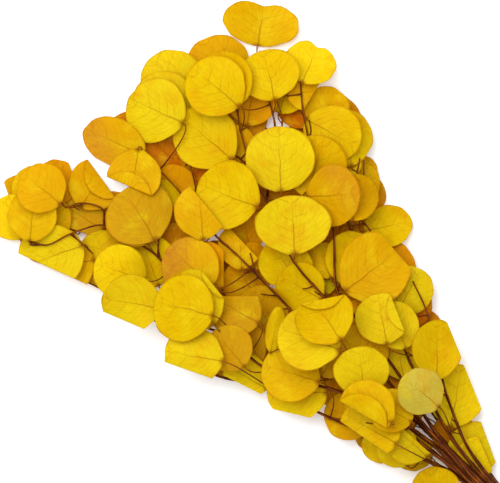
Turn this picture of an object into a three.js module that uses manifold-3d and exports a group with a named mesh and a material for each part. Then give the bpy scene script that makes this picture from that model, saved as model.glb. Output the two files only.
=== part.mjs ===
// A bunch of preserved silver-dollar eucalyptus, dyed yellow, lying on a table as it fell open.
// Seven leafy stems show from above and four lie beneath them. All run to one bundle of cut ends.
// Each leafy stem is one solid: its wood, its leaf stalks and its round blades, grown together.
// Millimetres, +Z up, +X from the cut ends towards the leafy tips.
import * as THREE from "three";
import { mergeVertices } from "three/addons/utils/BufferGeometryUtils.js";
import Module from "manifold-3d";

const wasm = await Module();
wasm.setup();

// Driving sizes.
const BLADE_THICK = 0.7;
const STALK_WIDE = 1.6;
const STALK_THICK = 1;
const STEM_RADIUS = 2.7;
const STEM_TIP_RADIUS = 1.1;
const TWIG_RADIUS = 1.3;
const TWIG_TIP_RADIUS = 0.9;
const STEM_SIDES = 5;
const TWIG_SIDES = 4;
const RIM_POINTS = 9;

// How the pile lies: the air kept between neighbours, and how far a blade or a stem leans to follow what
// is under it.
const CLEARANCE = 1.5;
const WOOD_CLEARANCE = 1.3;
const STEEPEST_BLADE = 0.3;
const STEEPEST_WOOD = 0.22;
const DEEPEST_DRAPE = 4;
const CREASE_LIFT = 1.7;
const CREASE_OPENING = 0.16;

// The plan is measured to the right of and below the top left corner of the view from above.
// The bunch's own axis runs at this angle in it, and this point of the plan is the part's origin.
const AXIS_DEGREES = 132;
const PLAN_ORIGIN = [318.7, 315];

const radians = (degrees) => (degrees * Math.PI) / 180;

// Draws numbers from 0 to 1 in the same order every time.
class Draws {
  constructor(seed) {
    this.state = seed;
  }

  next() {
    this.state = (this.state * 1664525 + 1013904223) % 4294967296;
    return this.state / 4294967296;
  }

  between(low, high) {
    return low + (high - low) * this.next();
  }
}

const draws = new Draws(91);

// A crease folds part of a blade over onto it or under it. The part lies on the side that `degrees` points
// to, past a line `share` of the way from the blade's middle to its rim.
const over = (degrees, share) => ({ degrees, share, side: 1 });
const under = (degrees, share) => ({ degrees, share, side: -1 });

// One leaf: where the middle of its blade lies in the plan, how wide and long it is, the way it points from
// its stalk, and its place in the pile from the table up.
function leaf(right, down, wide, long, degrees, layer, extra = {}) {
  const heading = radians(degrees);
  const made = {
    x: right,
    y: -down,
    halfLong: long / 2,
    halfWide: wide / 2,
    cos: Math.cos(heading),
    sin: Math.sin(heading),
    layer,
    notch: extra.notch ?? 0,
    leanAlong: draws.between(-0.05, 0.05),
    leanAcross: draws.between(-0.05, 0.05),
    cup: draws.between(-0.8, 1.8),
    keel: extra.keel ?? draws.between(0, 1.2),
    wave: draws.between(0, 0.8),
    phase: draws.between(0, 2 * Math.PI),
    air: draws.between(0, 0.6),
    drapeAlong: 0,
    drapeAcross: 0,
  };
  made.flat = extra.flat ?? false;
  if (extra.flat) {
    for (const key of ["leanAlong", "leanAcross", "cup", "keel", "wave", "air"]) made[key] = 0;
  }
  if (extra.side) {
    const across = radians(extra.degrees - degrees);
    const n = [Math.cos(across), Math.sin(across)];
    const reach = Math.hypot(made.halfLong * n[0], made.halfWide * n[1]);
    made.crease = { n, at: reach * extra.share, side: extra.side };
  }
  return made;
}

// A stem or twig: its route in the plan from its root to its tip, and its place in the pile.
function wood(layer, route, radius = TWIG_RADIUS, tipRadius = TWIG_TIP_RADIUS) {
  return { layer, route: route.map(([right, down]) => [right, -down]), radius, tipRadius };
}

const stem = (layer, route) => wood(layer, route, STEM_RADIUS, STEM_TIP_RADIUS);

const notched = { notch: 0.22, keel: 5 };

// The seven leafy stems that show, from the right edge of the bunch to its left edge.
const SPRAYS = [
  {
    name: "leafy_stem_right_edge",
    wood: [
      stem(8, [
        [542, 529], [507, 496], [487, 474], [466, 444], [453, 412], [446, 392], [441, 372],
        [434, 342], [427, 312], [413, 281],
      ]),
      wood(8, [[446, 392], [440, 384], [437, 372]]),
    ],
    leaves: [
      leaf(410, 290, 48, 48, 60, 6),
      leaf(411, 305, 44, 44, 100, 5),
      leaf(437, 349, 50, 58, 90, 10, under(22, 0.78)),
      leaf(457, 395, 58, 62, 80, 8, under(22, 0.62)),
      leaf(474, 450, 52, 56, 75, 7, under(20, 0.64)),
      leaf(477, 458, 40, 42, 100, 8, under(24, 0.5)),
      leaf(438, 388, 42, 42, 110, 7),
      leaf(397, 325, 44, 48, 110, 9.2),
      leaf(382, 318, 54, 50, 100, 11, over(21, 0.61)),
    ],
  },
  {
    name: "leafy_stem_right",
    wood: [
      stem(8.6, [
        [539, 532], [505, 498], [480, 473], [458, 447], [441, 420], [425, 388], [409, 360],
        [395, 312], [371, 232], [362, 219], [356, 184], [360, 158],
      ]),
      wood(8.6, [[362, 219], [363, 200], [364, 178], [364, 160]]),
    ],
    leaves: [
      leaf(346, 137, 54, 56, 100, 7.9),
      leaf(357, 197, 44, 46, 80, 9),
      leaf(362, 172, 32, 34, 60, 5),
      leaf(360, 183, 42, 42, 60, 6),
      leaf(349, 163, 26, 30, 90, 6),
      leaf(389, 226, 42, 48, 12, 7),
      leaf(400, 356, 44, 44, 100, 8),
      leaf(420, 391, 48, 46, 140, 12),
      leaf(393, 398, 42, 42, 120, 6),
    ],
  },
  {
    name: "leafy_stem_top_right",
    wood: [
      stem(8.1, [
        [536, 535], [502, 501], [476, 475], [440, 438], [400, 376], [360, 322], [338, 293],
        [333, 226], [318, 172], [309, 140], [303, 110], [300, 77],
      ]),
      wood(8.1, [[309, 140], [311, 131], [309, 120]]),
    ],
    leaves: [
      leaf(311, 62, 52, 42, 66, 8.7, notched),
      leaf(308, 92, 38, 40, 10, 6, under(-31, 0.3)),
      leaf(327, 108, 46, 44, 60, 5),
      leaf(298, 108, 40, 40, 120, 3),
      leaf(333, 134, 58, 58, -30, 8),
      leaf(316, 166, 62, 62, 75, 8.3),
      leaf(334, 195, 62, 52, 4, 9),
      leaf(352, 258, 54, 54, 80, 7),
      leaf(375, 268, 72, 72, 38, 9, under(41, 0.75)),
      leaf(322, 272, 40, 44, 100, 5),
      leaf(324, 260, 34, 36, 110, 6),
      leaf(456, 438, 46, 50, 120, 5),
    ],
  },
  {
    name: "leafy_stem_top",
    wood: [
      stem(8.5, [
        [533, 538], [500, 503], [472, 475], [432, 434], [395, 390], [352, 330], [324, 297],
        [300, 270], [287, 250], [275, 222], [266, 199], [257, 183], [245, 147], [240, 128],
        [237, 106],
      ]),
      wood(8.5, [[267, 199], [269, 186], [276, 152], [282, 126], [282, 116], [277, 101]]),
      wood(8.5, [[275, 154], [275, 125], [271, 107], [264, 85], [262, 62], [260, 50]]),
      wood(8.5, [[251, 170], [242, 160], [234, 154]]),
    ],
    leaves: [
      leaf(261, 22, 78, 45, 81, 6, { notch: 0.24, keel: 7 }),
      leaf(215, 86, 62, 60, 140, 12),
      leaf(223, 80, 60, 58, 125, 11),
      leaf(269, 74, 62, 50, 103, 9),
      leaf(218, 66, 66, 64, 110, 6),
      leaf(205, 137, 64, 66, 140, 10),
      leaf(280, 158, 70, 64, 92, 11),
      leaf(227, 195, 70, 62, 158, 11),
      leaf(293, 224, 76, 57, 93, 13),
      leaf(252, 98, 54, 52, 80, 6),
      leaf(287, 90, 46, 46, 70, 5),
      leaf(243, 116, 50, 50, 100, 4),
      leaf(233, 148, 48, 48, 110, 6),
      leaf(304, 265, 18, 32, 105, 7.5),
      leaf(284, 262, 52, 50, 120, 7),
      leaf(300, 287, 50, 48, 150, 8),
      leaf(363, 350, 54, 52, 15, 9),
      leaf(361, 370, 56, 48, 95, 12),
    ],
  },
  {
    name: "leafy_stem_shoulder",
    wood: [
      stem(8.4, [
        [527, 544], [495, 508], [466, 477], [432, 452], [404, 430], [360, 388], [322, 348],
        [288, 307], [268, 286], [253, 271], [237, 255], [217, 237], [198, 214], [178, 190],
        [154, 165], [140, 154],
      ]),
      wood(8.4, [[256, 274], [253, 264], [250, 253]]),
      wood(8.4, [[198, 214], [195, 185], [186, 150], [180, 120]]),
    ],
    leaves: [
      leaf(113, 141, 47, 64, 156, 11),
      leaf(134, 176, 54, 52, 262, 11.5, over(247, 0.45)),
      leaf(155, 110, 66, 58, 155, 10),
      leaf(163, 102, 64, 62, 150, 9),
      leaf(171, 80, 64, 62, 130, 7),
      leaf(160, 148, 54, 52, 140, 4),
      leaf(173, 188, 48, 48, 110, 6),
      leaf(167, 194, 24, 30, 115, 7),
      leaf(190, 170, 44, 42, 120, 5),
      leaf(201, 211, 54, 54, 95, 12, under(39, 0.28)),
      leaf(240, 245, 44, 46, 95, 7, under(43, 0.2)),
      leaf(253, 256, 28, 28, 100, 6),
      leaf(246, 229, 42, 42, 100, 5),
      leaf(230, 262, 50, 48, 120, 5),
      leaf(246, 282, 48, 48, 130, 5),
      leaf(262, 312, 52, 54, 120, 8),
      leaf(275, 329, 18, 46, 79, 11),
      leaf(308, 338, 64, 62, 160, 12),
      leaf(324, 316, 60, 54, 125, 13, over(102, 0.63)),
      leaf(190, 266, 58, 58, 140, 10),
      leaf(202, 268, 56, 54, 130, 9, under(0, 0.8)),
      leaf(329, 363, 30, 30, 60, 9),
    ],
  },
  {
    name: "leafy_stem_left",
    wood: [
      stem(8.2, [
        [530, 541], [498, 505], [469, 476], [436, 447], [405, 425], [370, 405], [343, 393],
        [312, 384], [288, 377], [263, 367], [243, 351], [226, 334], [206, 327], [188, 303],
        [169, 274], [158, 257], [132, 240], [110, 229], [101, 225], [70, 234], [46, 245], [28, 241],
      ]),
      wood(8.2, [[226, 334], [219, 323], [212, 318]]),
      wood(8.2, [[158, 256], [158, 246], [159, 237]]),
      wood(8.2, [[104, 226], [102, 209], [80, 203], [66, 207], [60, 201]]),
      wood(8.2, [[71, 234], [80, 242], [93, 254]]),
    ],
    leaves: [
      leaf(183, 308, 68, 59, 166, 13),
      leaf(193, 300, 64, 62, 130, 12, over(39, 0.8)),
      leaf(236, 310, 52, 50, 150, 9, under(90, 0.55)),
      leaf(240, 346, 54, 52, 140, 8),
      leaf(229, 348, 48, 46, 130, 9),
      leaf(227, 353, 52, 50, 150, 7),
      leaf(139, 214, 70, 58, 121, 10),
      leaf(136, 217, 64, 56, 115, 9.8),
      leaf(119, 271, 54, 52, 160, 11),
      leaf(149, 260, 52, 52, 110, 4),
      leaf(82, 217, 46, 46, 150, 6, under(250, 0.66)),
      leaf(94, 184, 52, 52, 60, 8, over(36, 0.36)),
      leaf(56, 181, 44, 44, 100, 6, under(20, 0.82)),
      leaf(41, 188, 52, 47, 140, 10),
      leaf(33, 188, 46, 44, 140, 8),
      leaf(17, 192, 34, 34, 140, 7, under(200, 0.6)),
      leaf(32, 215, 50, 50, 84, 9),
      leaf(12, 217, 46, 46, 115, 8),
      leaf(45, 219, 52, 50, 80, 7),
      leaf(50, 257, 66, 66, 200, 8, under(246, 0.31)),
      leaf(290, 373, 58, 58, 163, 9),
    ],
  },
  {
    name: "leafy_stem_left_edge",
    wood: [
      stem(7, [
        [524, 547], [493, 510], [467, 484], [444, 469], [418, 457], [372, 436], [330, 418],
        [290, 399], [262, 388], [240, 382], [212, 374], [180, 345], [142, 311], [109, 293],
        [84, 281],
      ]),
    ],
    leaves: [
      leaf(131, 303, 58, 58, 170, 12, under(247, 0.66)),
      leaf(106, 282, 44, 44, 160, 5, under(246, 0.4)),
      leaf(102, 253, 48, 46, 105, 6),
      leaf(65, 265, 58, 56, 190, 7.5, under(246, 0.33)),
      leaf(193, 356, 58, 58, 170, 10, under(251, 0.53)),
      leaf(246, 377, 46, 46, 150, 8, under(243, 0.4)),
      leaf(296, 393, 58, 58, 180, 8, under(257, 0.74)),
      leaf(349, 416, 50, 50, 160, 6.5),
      leaf(381, 445, 38, 38, 190, 6),
      leaf(369, 428, 60, 60, 150, 11, under(236, 0.36)),
      leaf(366, 407, 56, 56, 150, 13, over(240, 0.28)),
      leaf(397, 447, 42, 42, 120, 10),
      leaf(413, 452, 40, 40, 160, 6.6),
      leaf(436, 491, 50, 48, 100, 9),
      leaf(410, 441, 48, 44, 138, 10, under(48, 0.2)),
      leaf(391, 410, 44, 44, 150, 11),
    ],
  },
];

// Leafy stems that lie beneath carry their leaves turn and turn about, at a regular pitch.
const HIDDEN_PITCH = 38;
const HIDDEN_FIRST = 160;
const HIDDEN_STALK = 14;

function hiddenSpray(name, route, leftDegrees, rightDegrees) {
  const spray = { name, wood: [stem(1, route)], leaves: [] };
  const line = smoothRoute(spray.wood[0].route);
  const total = line[line.length - 1].along;
  let count = 0;
  for (let along = HIDDEN_FIRST; along < total; along += HIDDEN_PITCH) {
    const at = pointAlong(line, along);
    const left = count % 2 === 0;
    const turn = left ? leftDegrees : -rightDegrees;
    const degrees = at.degrees + turn + draws.between(-10, 10);
    const long = draws.between(46, 60);
    const wide = long * draws.between(0.98, 1.12);
    const reach = HIDDEN_STALK + long / 2;
    const right = at.x + reach * Math.cos(radians(degrees));
    const down = -(at.y + reach * Math.sin(radians(degrees)));
    const beneath = count % 4 < 2;
    const layer = beneath ? 0 : 2;
    const flat = beneath && count % 3 === 0;
    spray.leaves.push(leaf(right, down, wide, long, degrees, layer, { flat }));
    count += 1;
  }
  return spray;
}

// Routes

// The points of a smooth line through a route, about 5 mm apart, with the distance along it at each.
function smoothRoute(route) {
  const points = route.map(([x, y]) => new THREE.Vector3(x, y, 0));
  const curve = new THREE.CatmullRomCurve3(points, false, "centripetal");
  const steps = Math.max(2, Math.round(curve.getLength() / 5));
  const line = [];
  let along = 0;
  for (let i = 0; i <= steps; i += 1) {
    const p = curve.getPoint(i / steps);
    if (i > 0) along += Math.hypot(p.x - line[i - 1].x, p.y - line[i - 1].y);
    line.push({ x: p.x, y: p.y, z: 0, along });
  }
  return line;
}

function pointAlong(line, along) {
  let i = 1;
  while (i < line.length - 1 && line[i].along < along) i += 1;
  const a = line[i - 1];
  const b = line[i];
  const share = (along - a.along) / (b.along - a.along);
  return {
    x: a.x + (b.x - a.x) * share,
    y: a.y + (b.y - a.y) * share,
    degrees: (Math.atan2(b.y - a.y, b.x - a.x) * 180) / Math.PI,
  };
}

// Blades

// How far the rim stands from the middle at an angle round the blade, as a share of the plain oval: it comes
// to a slight point at the stalk, and a notched blade is cut in at its tip.
function rimShare(blade, angle) {
  const fromStalk = Math.PI - Math.abs(angle);
  return 1 + 0.07 * Math.exp(-((fromStalk / 0.4) ** 2)) - blade.notch * Math.exp(-((angle / 0.28) ** 2));
}

function rimPoint(blade, angle) {
  const share = rimShare(blade, angle);
  return [blade.halfLong * share * Math.cos(angle), blade.halfWide * share * Math.sin(angle)];
}

// A point of the blade's own plane as a share of the way from its middle to its rim.
function shareOut(blade, u, v) {
  const angle = Math.atan2(v / blade.halfWide, u / blade.halfLong);
  return Math.hypot(u / blade.halfLong, v / blade.halfWide) / rimShare(blade, angle);
}

// The blade's own relief above its flat plane: it rises or falls evenly from its middle to each point of
// its rim.
function relief(blade, u, v) {
  const along = u / blade.halfLong;
  const across = v / blade.halfWide;
  const out = Math.hypot(along, across);
  if (out === 0) return 0;
  const angle = Math.atan2(across, along);
  const ripple = blade.wave * Math.sin(3 * angle + blade.phase);
  const drape = blade.drapeAlong * Math.cos(angle) ** 2 + blade.drapeAcross * Math.sin(angle) ** 2;
  return out * (blade.cup + ripple + drape) + blade.keel * Math.abs(across);
}

function height(blade, u, v) {
  return blade.z + blade.slopeAlong * u + blade.slopeAcross * v + relief(blade, u, v);
}

const pastCrease = (blade, u, v) => u * blade.crease.n[0] + v * blade.crease.n[1] - blade.crease.at;

function toPlan(blade, u, v) {
  return [blade.x + u * blade.cos - v * blade.sin, blade.y + u * blade.sin + v * blade.cos];
}

function toBlade(blade, x, y) {
  const dx = x - blade.x;
  const dy = y - blade.y;
  return [dx * blade.cos + dy * blade.sin, dy * blade.cos - dx * blade.sin];
}

// The sheets of the blade over a point of its plane, from a margin outside its rim inwards: the blade's own
// sheet and the one that a crease lays on or under it, as heights above the blade's middle plane.
function sheetsOver(blade, u, v, margin) {
  const grown = 1 + margin / Math.min(blade.halfLong, blade.halfWide);
  const sheets = [];
  if (!blade.crease) {
    if (shareOut(blade, u, v) <= grown) sheets.push(0);
    return sheets;
  }
  const past = pastCrease(blade, u, v);
  if (past > margin) return sheets;
  if (shareOut(blade, u, v) <= grown) sheets.push(0);
  const [nu, nv] = blade.crease.n;
  const back = Math.max(0, -past);
  if (shareOut(blade, u + 2 * back * nu, v + 2 * back * nv) <= grown) {
    sheets.push(blade.crease.side * (CREASE_LIFT + CREASE_OPENING * back));
  }
  return sheets;
}

// The pile: the height of its top at each cell of the plan.
const CELL = 2;
const PILE_LEFT = -36;
const PILE_TOP = 36;
const PILE_CELLS = 312;
const TABLE = BLADE_THICK / 2 - CLEARANCE;

const pile = new Float64Array(PILE_CELLS * PILE_CELLS).fill(TABLE);

const columnOf = (x) => Math.floor((x - PILE_LEFT) / CELL);
const rowOf = (y) => Math.floor((PILE_TOP - y) / CELL);

function* cellsNear(x, y, reach) {
  const firstColumn = Math.max(0, columnOf(x - reach));
  const lastColumn = Math.min(PILE_CELLS - 1, columnOf(x + reach));
  const firstRow = Math.max(0, rowOf(y + reach));
  const lastRow = Math.min(PILE_CELLS - 1, rowOf(y - reach));
  for (let row = firstRow; row <= lastRow; row += 1) {
    for (let column = firstColumn; column <= lastColumn; column += 1) {
      const cx = PILE_LEFT + (column + 0.5) * CELL;
      const cy = PILE_TOP - (row + 0.5) * CELL;
      yield [row * PILE_CELLS + column, cx, cy];
    }
  }
}

// Lays a blade on the pile: it leans to follow what is under it, rests on the highest of it, and becomes
// its top.
function layBlade(blade) {
  const reach = 1.1 * Math.max(blade.halfLong, blade.halfWide) + CELL;
  const under = [];
  for (const [cell, cx, cy] of cellsNear(blade.x, blade.y, reach)) {
    const [u, v] = toBlade(blade, cx, cy);
    const sheets = sheetsOver(blade, u, v, 2);
    if (sheets.length) under.push({ cell, u, v, low: Math.min(...sheets), high: Math.max(...sheets) });
  }
  leanOver(blade, under);
  blade.z = 0;
  let lift = -Infinity;
  for (const at of under) {
    lift = Math.max(lift, pile[at.cell] + CLEARANCE - height(blade, at.u, at.v) - at.low);
  }
  blade.z = lift + blade.air;
  for (const at of under) {
    pile[at.cell] = Math.max(pile[at.cell], height(blade, at.u, at.v) + at.high);
  }
}

// Leans a blade along the slope of the pile under it, and drapes it over the pile, no more than a blade can.
function leanOver(blade, under) {
  const at = under.map(({ cell, u, v }) => ({ u, v, h: pile[cell] }));
  const mean = (pick) => at.reduce((sum, one) => sum + pick(one), 0) / at.length;
  const middleHeight = mean(({ h }) => h);
  const trend = (pick, left) => {
    const middle = mean(pick);
    const spread = mean((one) => (pick(one) - middle) ** 2);
    return mean((one) => (pick(one) - middle) * left(one)) / spread;
  };
  const level = ({ h }) => h - middleHeight;
  const along = trend(({ u }) => u, level);
  const across = trend(({ v }) => v, level);
  const steepness = Math.hypot(along, across);
  const kept = steepness > STEEPEST_BLADE ? STEEPEST_BLADE / steepness : 1;
  blade.slopeAlong = along * kept + blade.leanAlong;
  blade.slopeAcross = across * kept + blade.leanAcross;
  const bent = (one) => level(one) - along * one.u - across * one.v;
  const clamp = (value) => Math.max(-DEEPEST_DRAPE, Math.min(DEEPEST_DRAPE, value));
  if (blade.flat) return;
  blade.drapeAlong = clamp(trend(({ u }) => u * u, bent) * blade.halfLong ** 2);
  blade.drapeAcross = clamp(trend(({ v }) => v * v, bent) * blade.halfWide ** 2);
}

// Lays a stem or twig on the pile, along its route, on the highest of what is under it. A twig starts on
// wood of its own leafy stem, so it is free of the pile for its first stretch.
const TWIG_FREE = 11;

function layWood(piece, grown) {
  const line = smoothRoute(piece.route);
  const total = line[line.length - 1].along;
  let root = null;
  if (grown.length) {
    root = nearestWood(grown, piece.route[0][0], piece.route[0][1]);
    line[0].x = root.x;
    line[0].y = root.y;
  }
  for (const at of line) {
    at.radius = piece.radius + ((piece.tipRadius - piece.radius) * at.along) / total;
    at.need = TABLE + WOOD_CLEARANCE + at.radius;
    if (root && at.along < TWIG_FREE) continue;
    for (const [cell, cx, cy] of cellsNear(at.x, at.y, at.radius + 1.2)) {
      if (Math.hypot(cx - at.x, cy - at.y) < at.radius + 1.2) {
        at.need = Math.max(at.need, pile[cell] + WOOD_CLEARANCE + at.radius);
      }
    }
  }
  for (const at of line) {
    at.z = -Infinity;
    for (const other of line) {
      at.z = Math.max(at.z, other.need - STEEPEST_WOOD * Math.abs(at.along - other.along));
    }
  }
  if (root) line[0].z = root.z;
  for (let i = 1; i < line.length; i += 1) {
    const steps = Math.ceil((line[i].along - line[i - 1].along) / 1.5);
    for (let k = 0; k <= steps; k += 1) raisePile(mix(line[i - 1], line[i], k / steps));
  }
  return line;
}

const mix = (a, b, share) => ({
  x: a.x + (b.x - a.x) * share,
  y: a.y + (b.y - a.y) * share,
  z: a.z + (b.z - a.z) * share,
  radius: a.radius + (b.radius - a.radius) * share,
});

function raisePile(at) {
  for (const [cell, cx, cy] of cellsNear(at.x, at.y, at.radius + 0.6)) {
    if (Math.hypot(cx - at.x, cy - at.y) < at.radius + 0.6) {
      pile[cell] = Math.max(pile[cell], at.z + at.radius);
    }
  }
}

function nearestWood(grown, x, y) {
  let best = null;
  for (const line of grown) {
    for (const at of line) {
      const far = Math.hypot(at.x - x, at.y - y);
      if (!best || far < best.far) best = { ...at, far };
    }
  }
  return best;
}

// Stalks

// The points of a stalk from the blade to the wood: it leaves the blade in line with its rib and bends into
// the wood.
const STALK_POINTS = 13;
const STALK_HASTES = [0.6, 1, 1.7];
const STALK_BOWS = [-0.25, 0, 0.25];

function stalkPath(blade, at, haste, bow) {
  const [bu] = rimPoint(blade, Math.PI);
  const [bx, by] = toPlan(blade, bu, 0);
  const bz = height(blade, bu, 0);
  const far = Math.hypot(at.x - bx, at.y - by);
  const bend = Math.min(12, far / 2);
  const mx = bx - bend * blade.cos + bow * (at.y - by);
  const my = by - bend * blade.sin - bow * (at.x - bx);
  const points = [];
  for (let i = 0; i < STALK_POINTS; i += 1) {
    const t = i / (STALK_POINTS - 1);
    const w0 = (1 - t) * (1 - t);
    const w1 = 2 * t * (1 - t);
    const w2 = t * t;
    const s = t ** haste;
    points.push({
      x: w0 * bx + w1 * mx + w2 * at.x,
      y: w0 * by + w1 * my + w2 * at.y,
      z: bz + (at.z - bz) * (3 * s * s - 2 * s * s * s),
      radius: STALK_WIDE / 2,
    });
  }
  return points;
}

// How far a stalk's middle line keeps from the middle of a blade and from the skin of other wood.
const STALK_OFF_BLADE = 1.7;
const STALK_OFF_WOOD = 2.4;

// What a way is charged beside its length in millimetres: for passing through another leafy stem, through
// its own, and for a steep step.
const THROUGH_OTHER = 400;
const THROUGH_OWN = 6;
const STEEP_STEP = 8;

const meets = (p, at) =>
  Math.abs(p.x - at.x) < 6 && Math.hypot(p.x - at.x, p.y - at.y, p.z - at.z) < at.radius + STALK_OFF_WOOD;

// What a stalk would cost: its length, with a charge where it passes through a blade, a stem or a stalk.
function stalkCost(path, blade, spray, laid, most) {
  let cost = 0;
  for (let i = 1; i < path.length; i += 1) {
    const rise = path[i].z - path[i - 1].z;
    const run = Math.hypot(path[i].x - path[i - 1].x, path[i].y - path[i - 1].y);
    cost += Math.hypot(rise, run) + (Math.abs(rise) > 1.3 * run ? STEEP_STEP : 0);
  }
  if (cost > most) return cost;
  for (const other of laid.blades) {
    if (other === blade) continue;
    const reach = 1.1 * Math.max(other.halfLong, other.halfWide) + 2;
    let side = 0;
    for (const p of path) {
      if (Math.abs(p.x - other.x) > reach || Math.abs(p.y - other.y) > reach) {
        side = 0;
        continue;
      }
      const [u, v] = toBlade(other, p.x, p.y);
      const sheets = sheetsOver(other, u, v, 1.2);
      if (!sheets.length) {
        side = 0;
        continue;
      }
      const base = height(other, u, v);
      const low = p.z - base - Math.min(...sheets);
      const high = p.z - base - Math.max(...sheets);
      const now = low < -STALK_OFF_BLADE ? -1 : high > STALK_OFF_BLADE ? 1 : 0;
      if (now === 0 || now * side < 0) {
        cost += other.spray === spray ? THROUGH_OWN : THROUGH_OTHER;
        break;
      }
      side = now;
    }
  }
  for (const line of laid.lines) {
    if (line.spray === spray) continue;
    if (line.some((at) => path.some((p) => meets(p, at)))) cost += THROUGH_OTHER;
  }
  return cost;
}

// Grows the stalk that joins a blade to its leafy stem, by the way that costs least.
const STALK_REACH = 75;

function growStalk(blade, spray, grown, laid) {
  const [bu] = rimPoint(blade, Math.PI);
  const [bx, by] = toPlan(blade, bu, 0);
  let best = null;
  for (const line of grown) {
    for (let i = 1; i < line.length; i += 1) {
      const at = line[i];
      const far = Math.hypot(at.x - bx, at.y - by);
      if (far > STALK_REACH) continue;
      const ahead = ((at.x - bx) * blade.cos + (at.y - by) * blade.sin) / (far + 1);
      for (const haste of STALK_HASTES) {
        for (const bow of STALK_BOWS) {
          const path = stalkPath(blade, at, haste, bow);
          const extra = 30 * Math.abs(bow) + 14 * Math.max(0, ahead + 0.4) + (far < 3 ? 20 : 0);
          const most = best ? best.worth - extra : Infinity;
          const worth = stalkCost(path, blade, spray, laid, most) + extra;
          if (!best || worth < best.worth) best = { worth, path };
        }
      }
    }
  }
  if (!best) {
    const at = nearestWood(grown, bx, by);
    best = { path: stalkPath(blade, at, 1, 0) };
  }
  blade.stalk = best.path;
  best.path.forEach(raisePile);
  best.path.spray = spray;
  laid.lines.push(best.path);
}

// Builds up the pile from the table.
function layPile(sprays) {
  const laid = { blades: [], lines: [] };
  const turns = [];
  for (const spray of sprays) {
    spray.lines = [];
    for (const blade of spray.leaves) turns.push({ layer: blade.layer, spray, blade });
    turns.push({ layer: spray.wood[0].layer, spray });
  }
  turns.sort((a, b) => a.layer - b.layer);
  for (const { spray, blade } of turns) {
    if (blade) {
      layBlade(blade);
      blade.spray = spray;
      laid.blades.push(blade);
      if (spray.lines.length) growStalk(blade, spray, spray.lines, laid);
      continue;
    }
    for (const piece of spray.wood) {
      const line = layWood(piece, spray.lines);
      line.sides = spray.lines.length ? TWIG_SIDES : STEM_SIDES;
      line.spray = spray;
      spray.lines.push(line);
      laid.lines.push(line);
    }
    for (const waiting of spray.leaves) {
      if (waiting.spray) growStalk(waiting, spray, spray.lines, laid);
    }
  }
}

// Solids

// A closed mesh from points and triangles that face out.
function solidOf(points, faces) {
  const geometry = new THREE.BufferGeometry();
  const places = points.flatMap((p) => [p.x, p.y, p.z]);
  geometry.setAttribute("position", new THREE.Float32BufferAttribute(places, 3));
  geometry.setIndex(faces.flat());
  const merged = mergeVertices(geometry, 1e-4);
  return new wasm.Manifold(
    new wasm.Mesh({
      numProp: 3,
      vertProperties: merged.attributes.position.array,
      triVerts: new Uint32Array(merged.index.array),
    }),
  );
}

// Leaves out the points of a line that lie within a small distance of the straight way past them.
function fewerPoints(line, slack) {
  if (line.length < 3) return line;
  const a = new THREE.Vector3(line[0].x, line[0].y, line[0].z);
  const last = line[line.length - 1];
  const b = new THREE.Vector3(last.x, last.y, last.z);
  const way = new THREE.Line3(a, b);
  const foot = new THREE.Vector3();
  let worst = 0;
  let index = 0;
  for (let i = 1; i < line.length - 1; i += 1) {
    const p = new THREE.Vector3(line[i].x, line[i].y, line[i].z);
    const off = way.closestPointToPoint(p, true, foot).distanceTo(p);
    if (off > worst) {
      worst = off;
      index = i;
    }
  }
  if (worst < slack) return [line[0], last];
  const first = fewerPoints(line.slice(0, index + 1), slack);
  const second = fewerPoints(line.slice(index), slack);
  return [...first.slice(0, -1), ...second];
}

// How far a stem or a stalk may stray from its line, in millimetres.
const LINE_SLACK = 1;

// Wood as a tapered rod along its line, closed at both ends.
function rod(line) {
  const kept = fewerPoints(line, LINE_SLACK);
  const points = [];
  const faces = [];
  const sides = line.sides;
  kept.forEach((at, i) => {
    const before = kept[Math.max(0, i - 1)];
    const after = kept[Math.min(kept.length - 1, i + 1)];
    const along = new THREE.Vector3(after.x - before.x, after.y - before.y, after.z - before.z).normalize();
    const across = new THREE.Vector3(-along.y, along.x, 0).normalize();
    const up = new THREE.Vector3().crossVectors(along, across);
    for (let k = 0; k < sides; k += 1) {
      const angle = (2 * Math.PI * (k + 0.5)) / sides;
      points.push(
        new THREE.Vector3(at.x, at.y, at.z)
          .addScaledVector(across, at.radius * Math.cos(angle))
          .addScaledVector(up, at.radius * Math.sin(angle)),
      );
    }
  });
  for (let i = 1; i < kept.length; i += 1) {
    for (let k = 0; k < sides; k += 1) {
      const a = (i - 1) * sides + k;
      const b = (i - 1) * sides + ((k + 1) % sides);
      faces.push([a, b, b + sides], [a, b + sides, a + sides]);
    }
  }
  const end = (kept.length - 1) * sides;
  for (let k = 1; k < sides - 1; k += 1) {
    faces.push([0, k + 1, k], [end, end + k, end + k + 1]);
  }
  return solidOf(points, faces);
}

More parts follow.
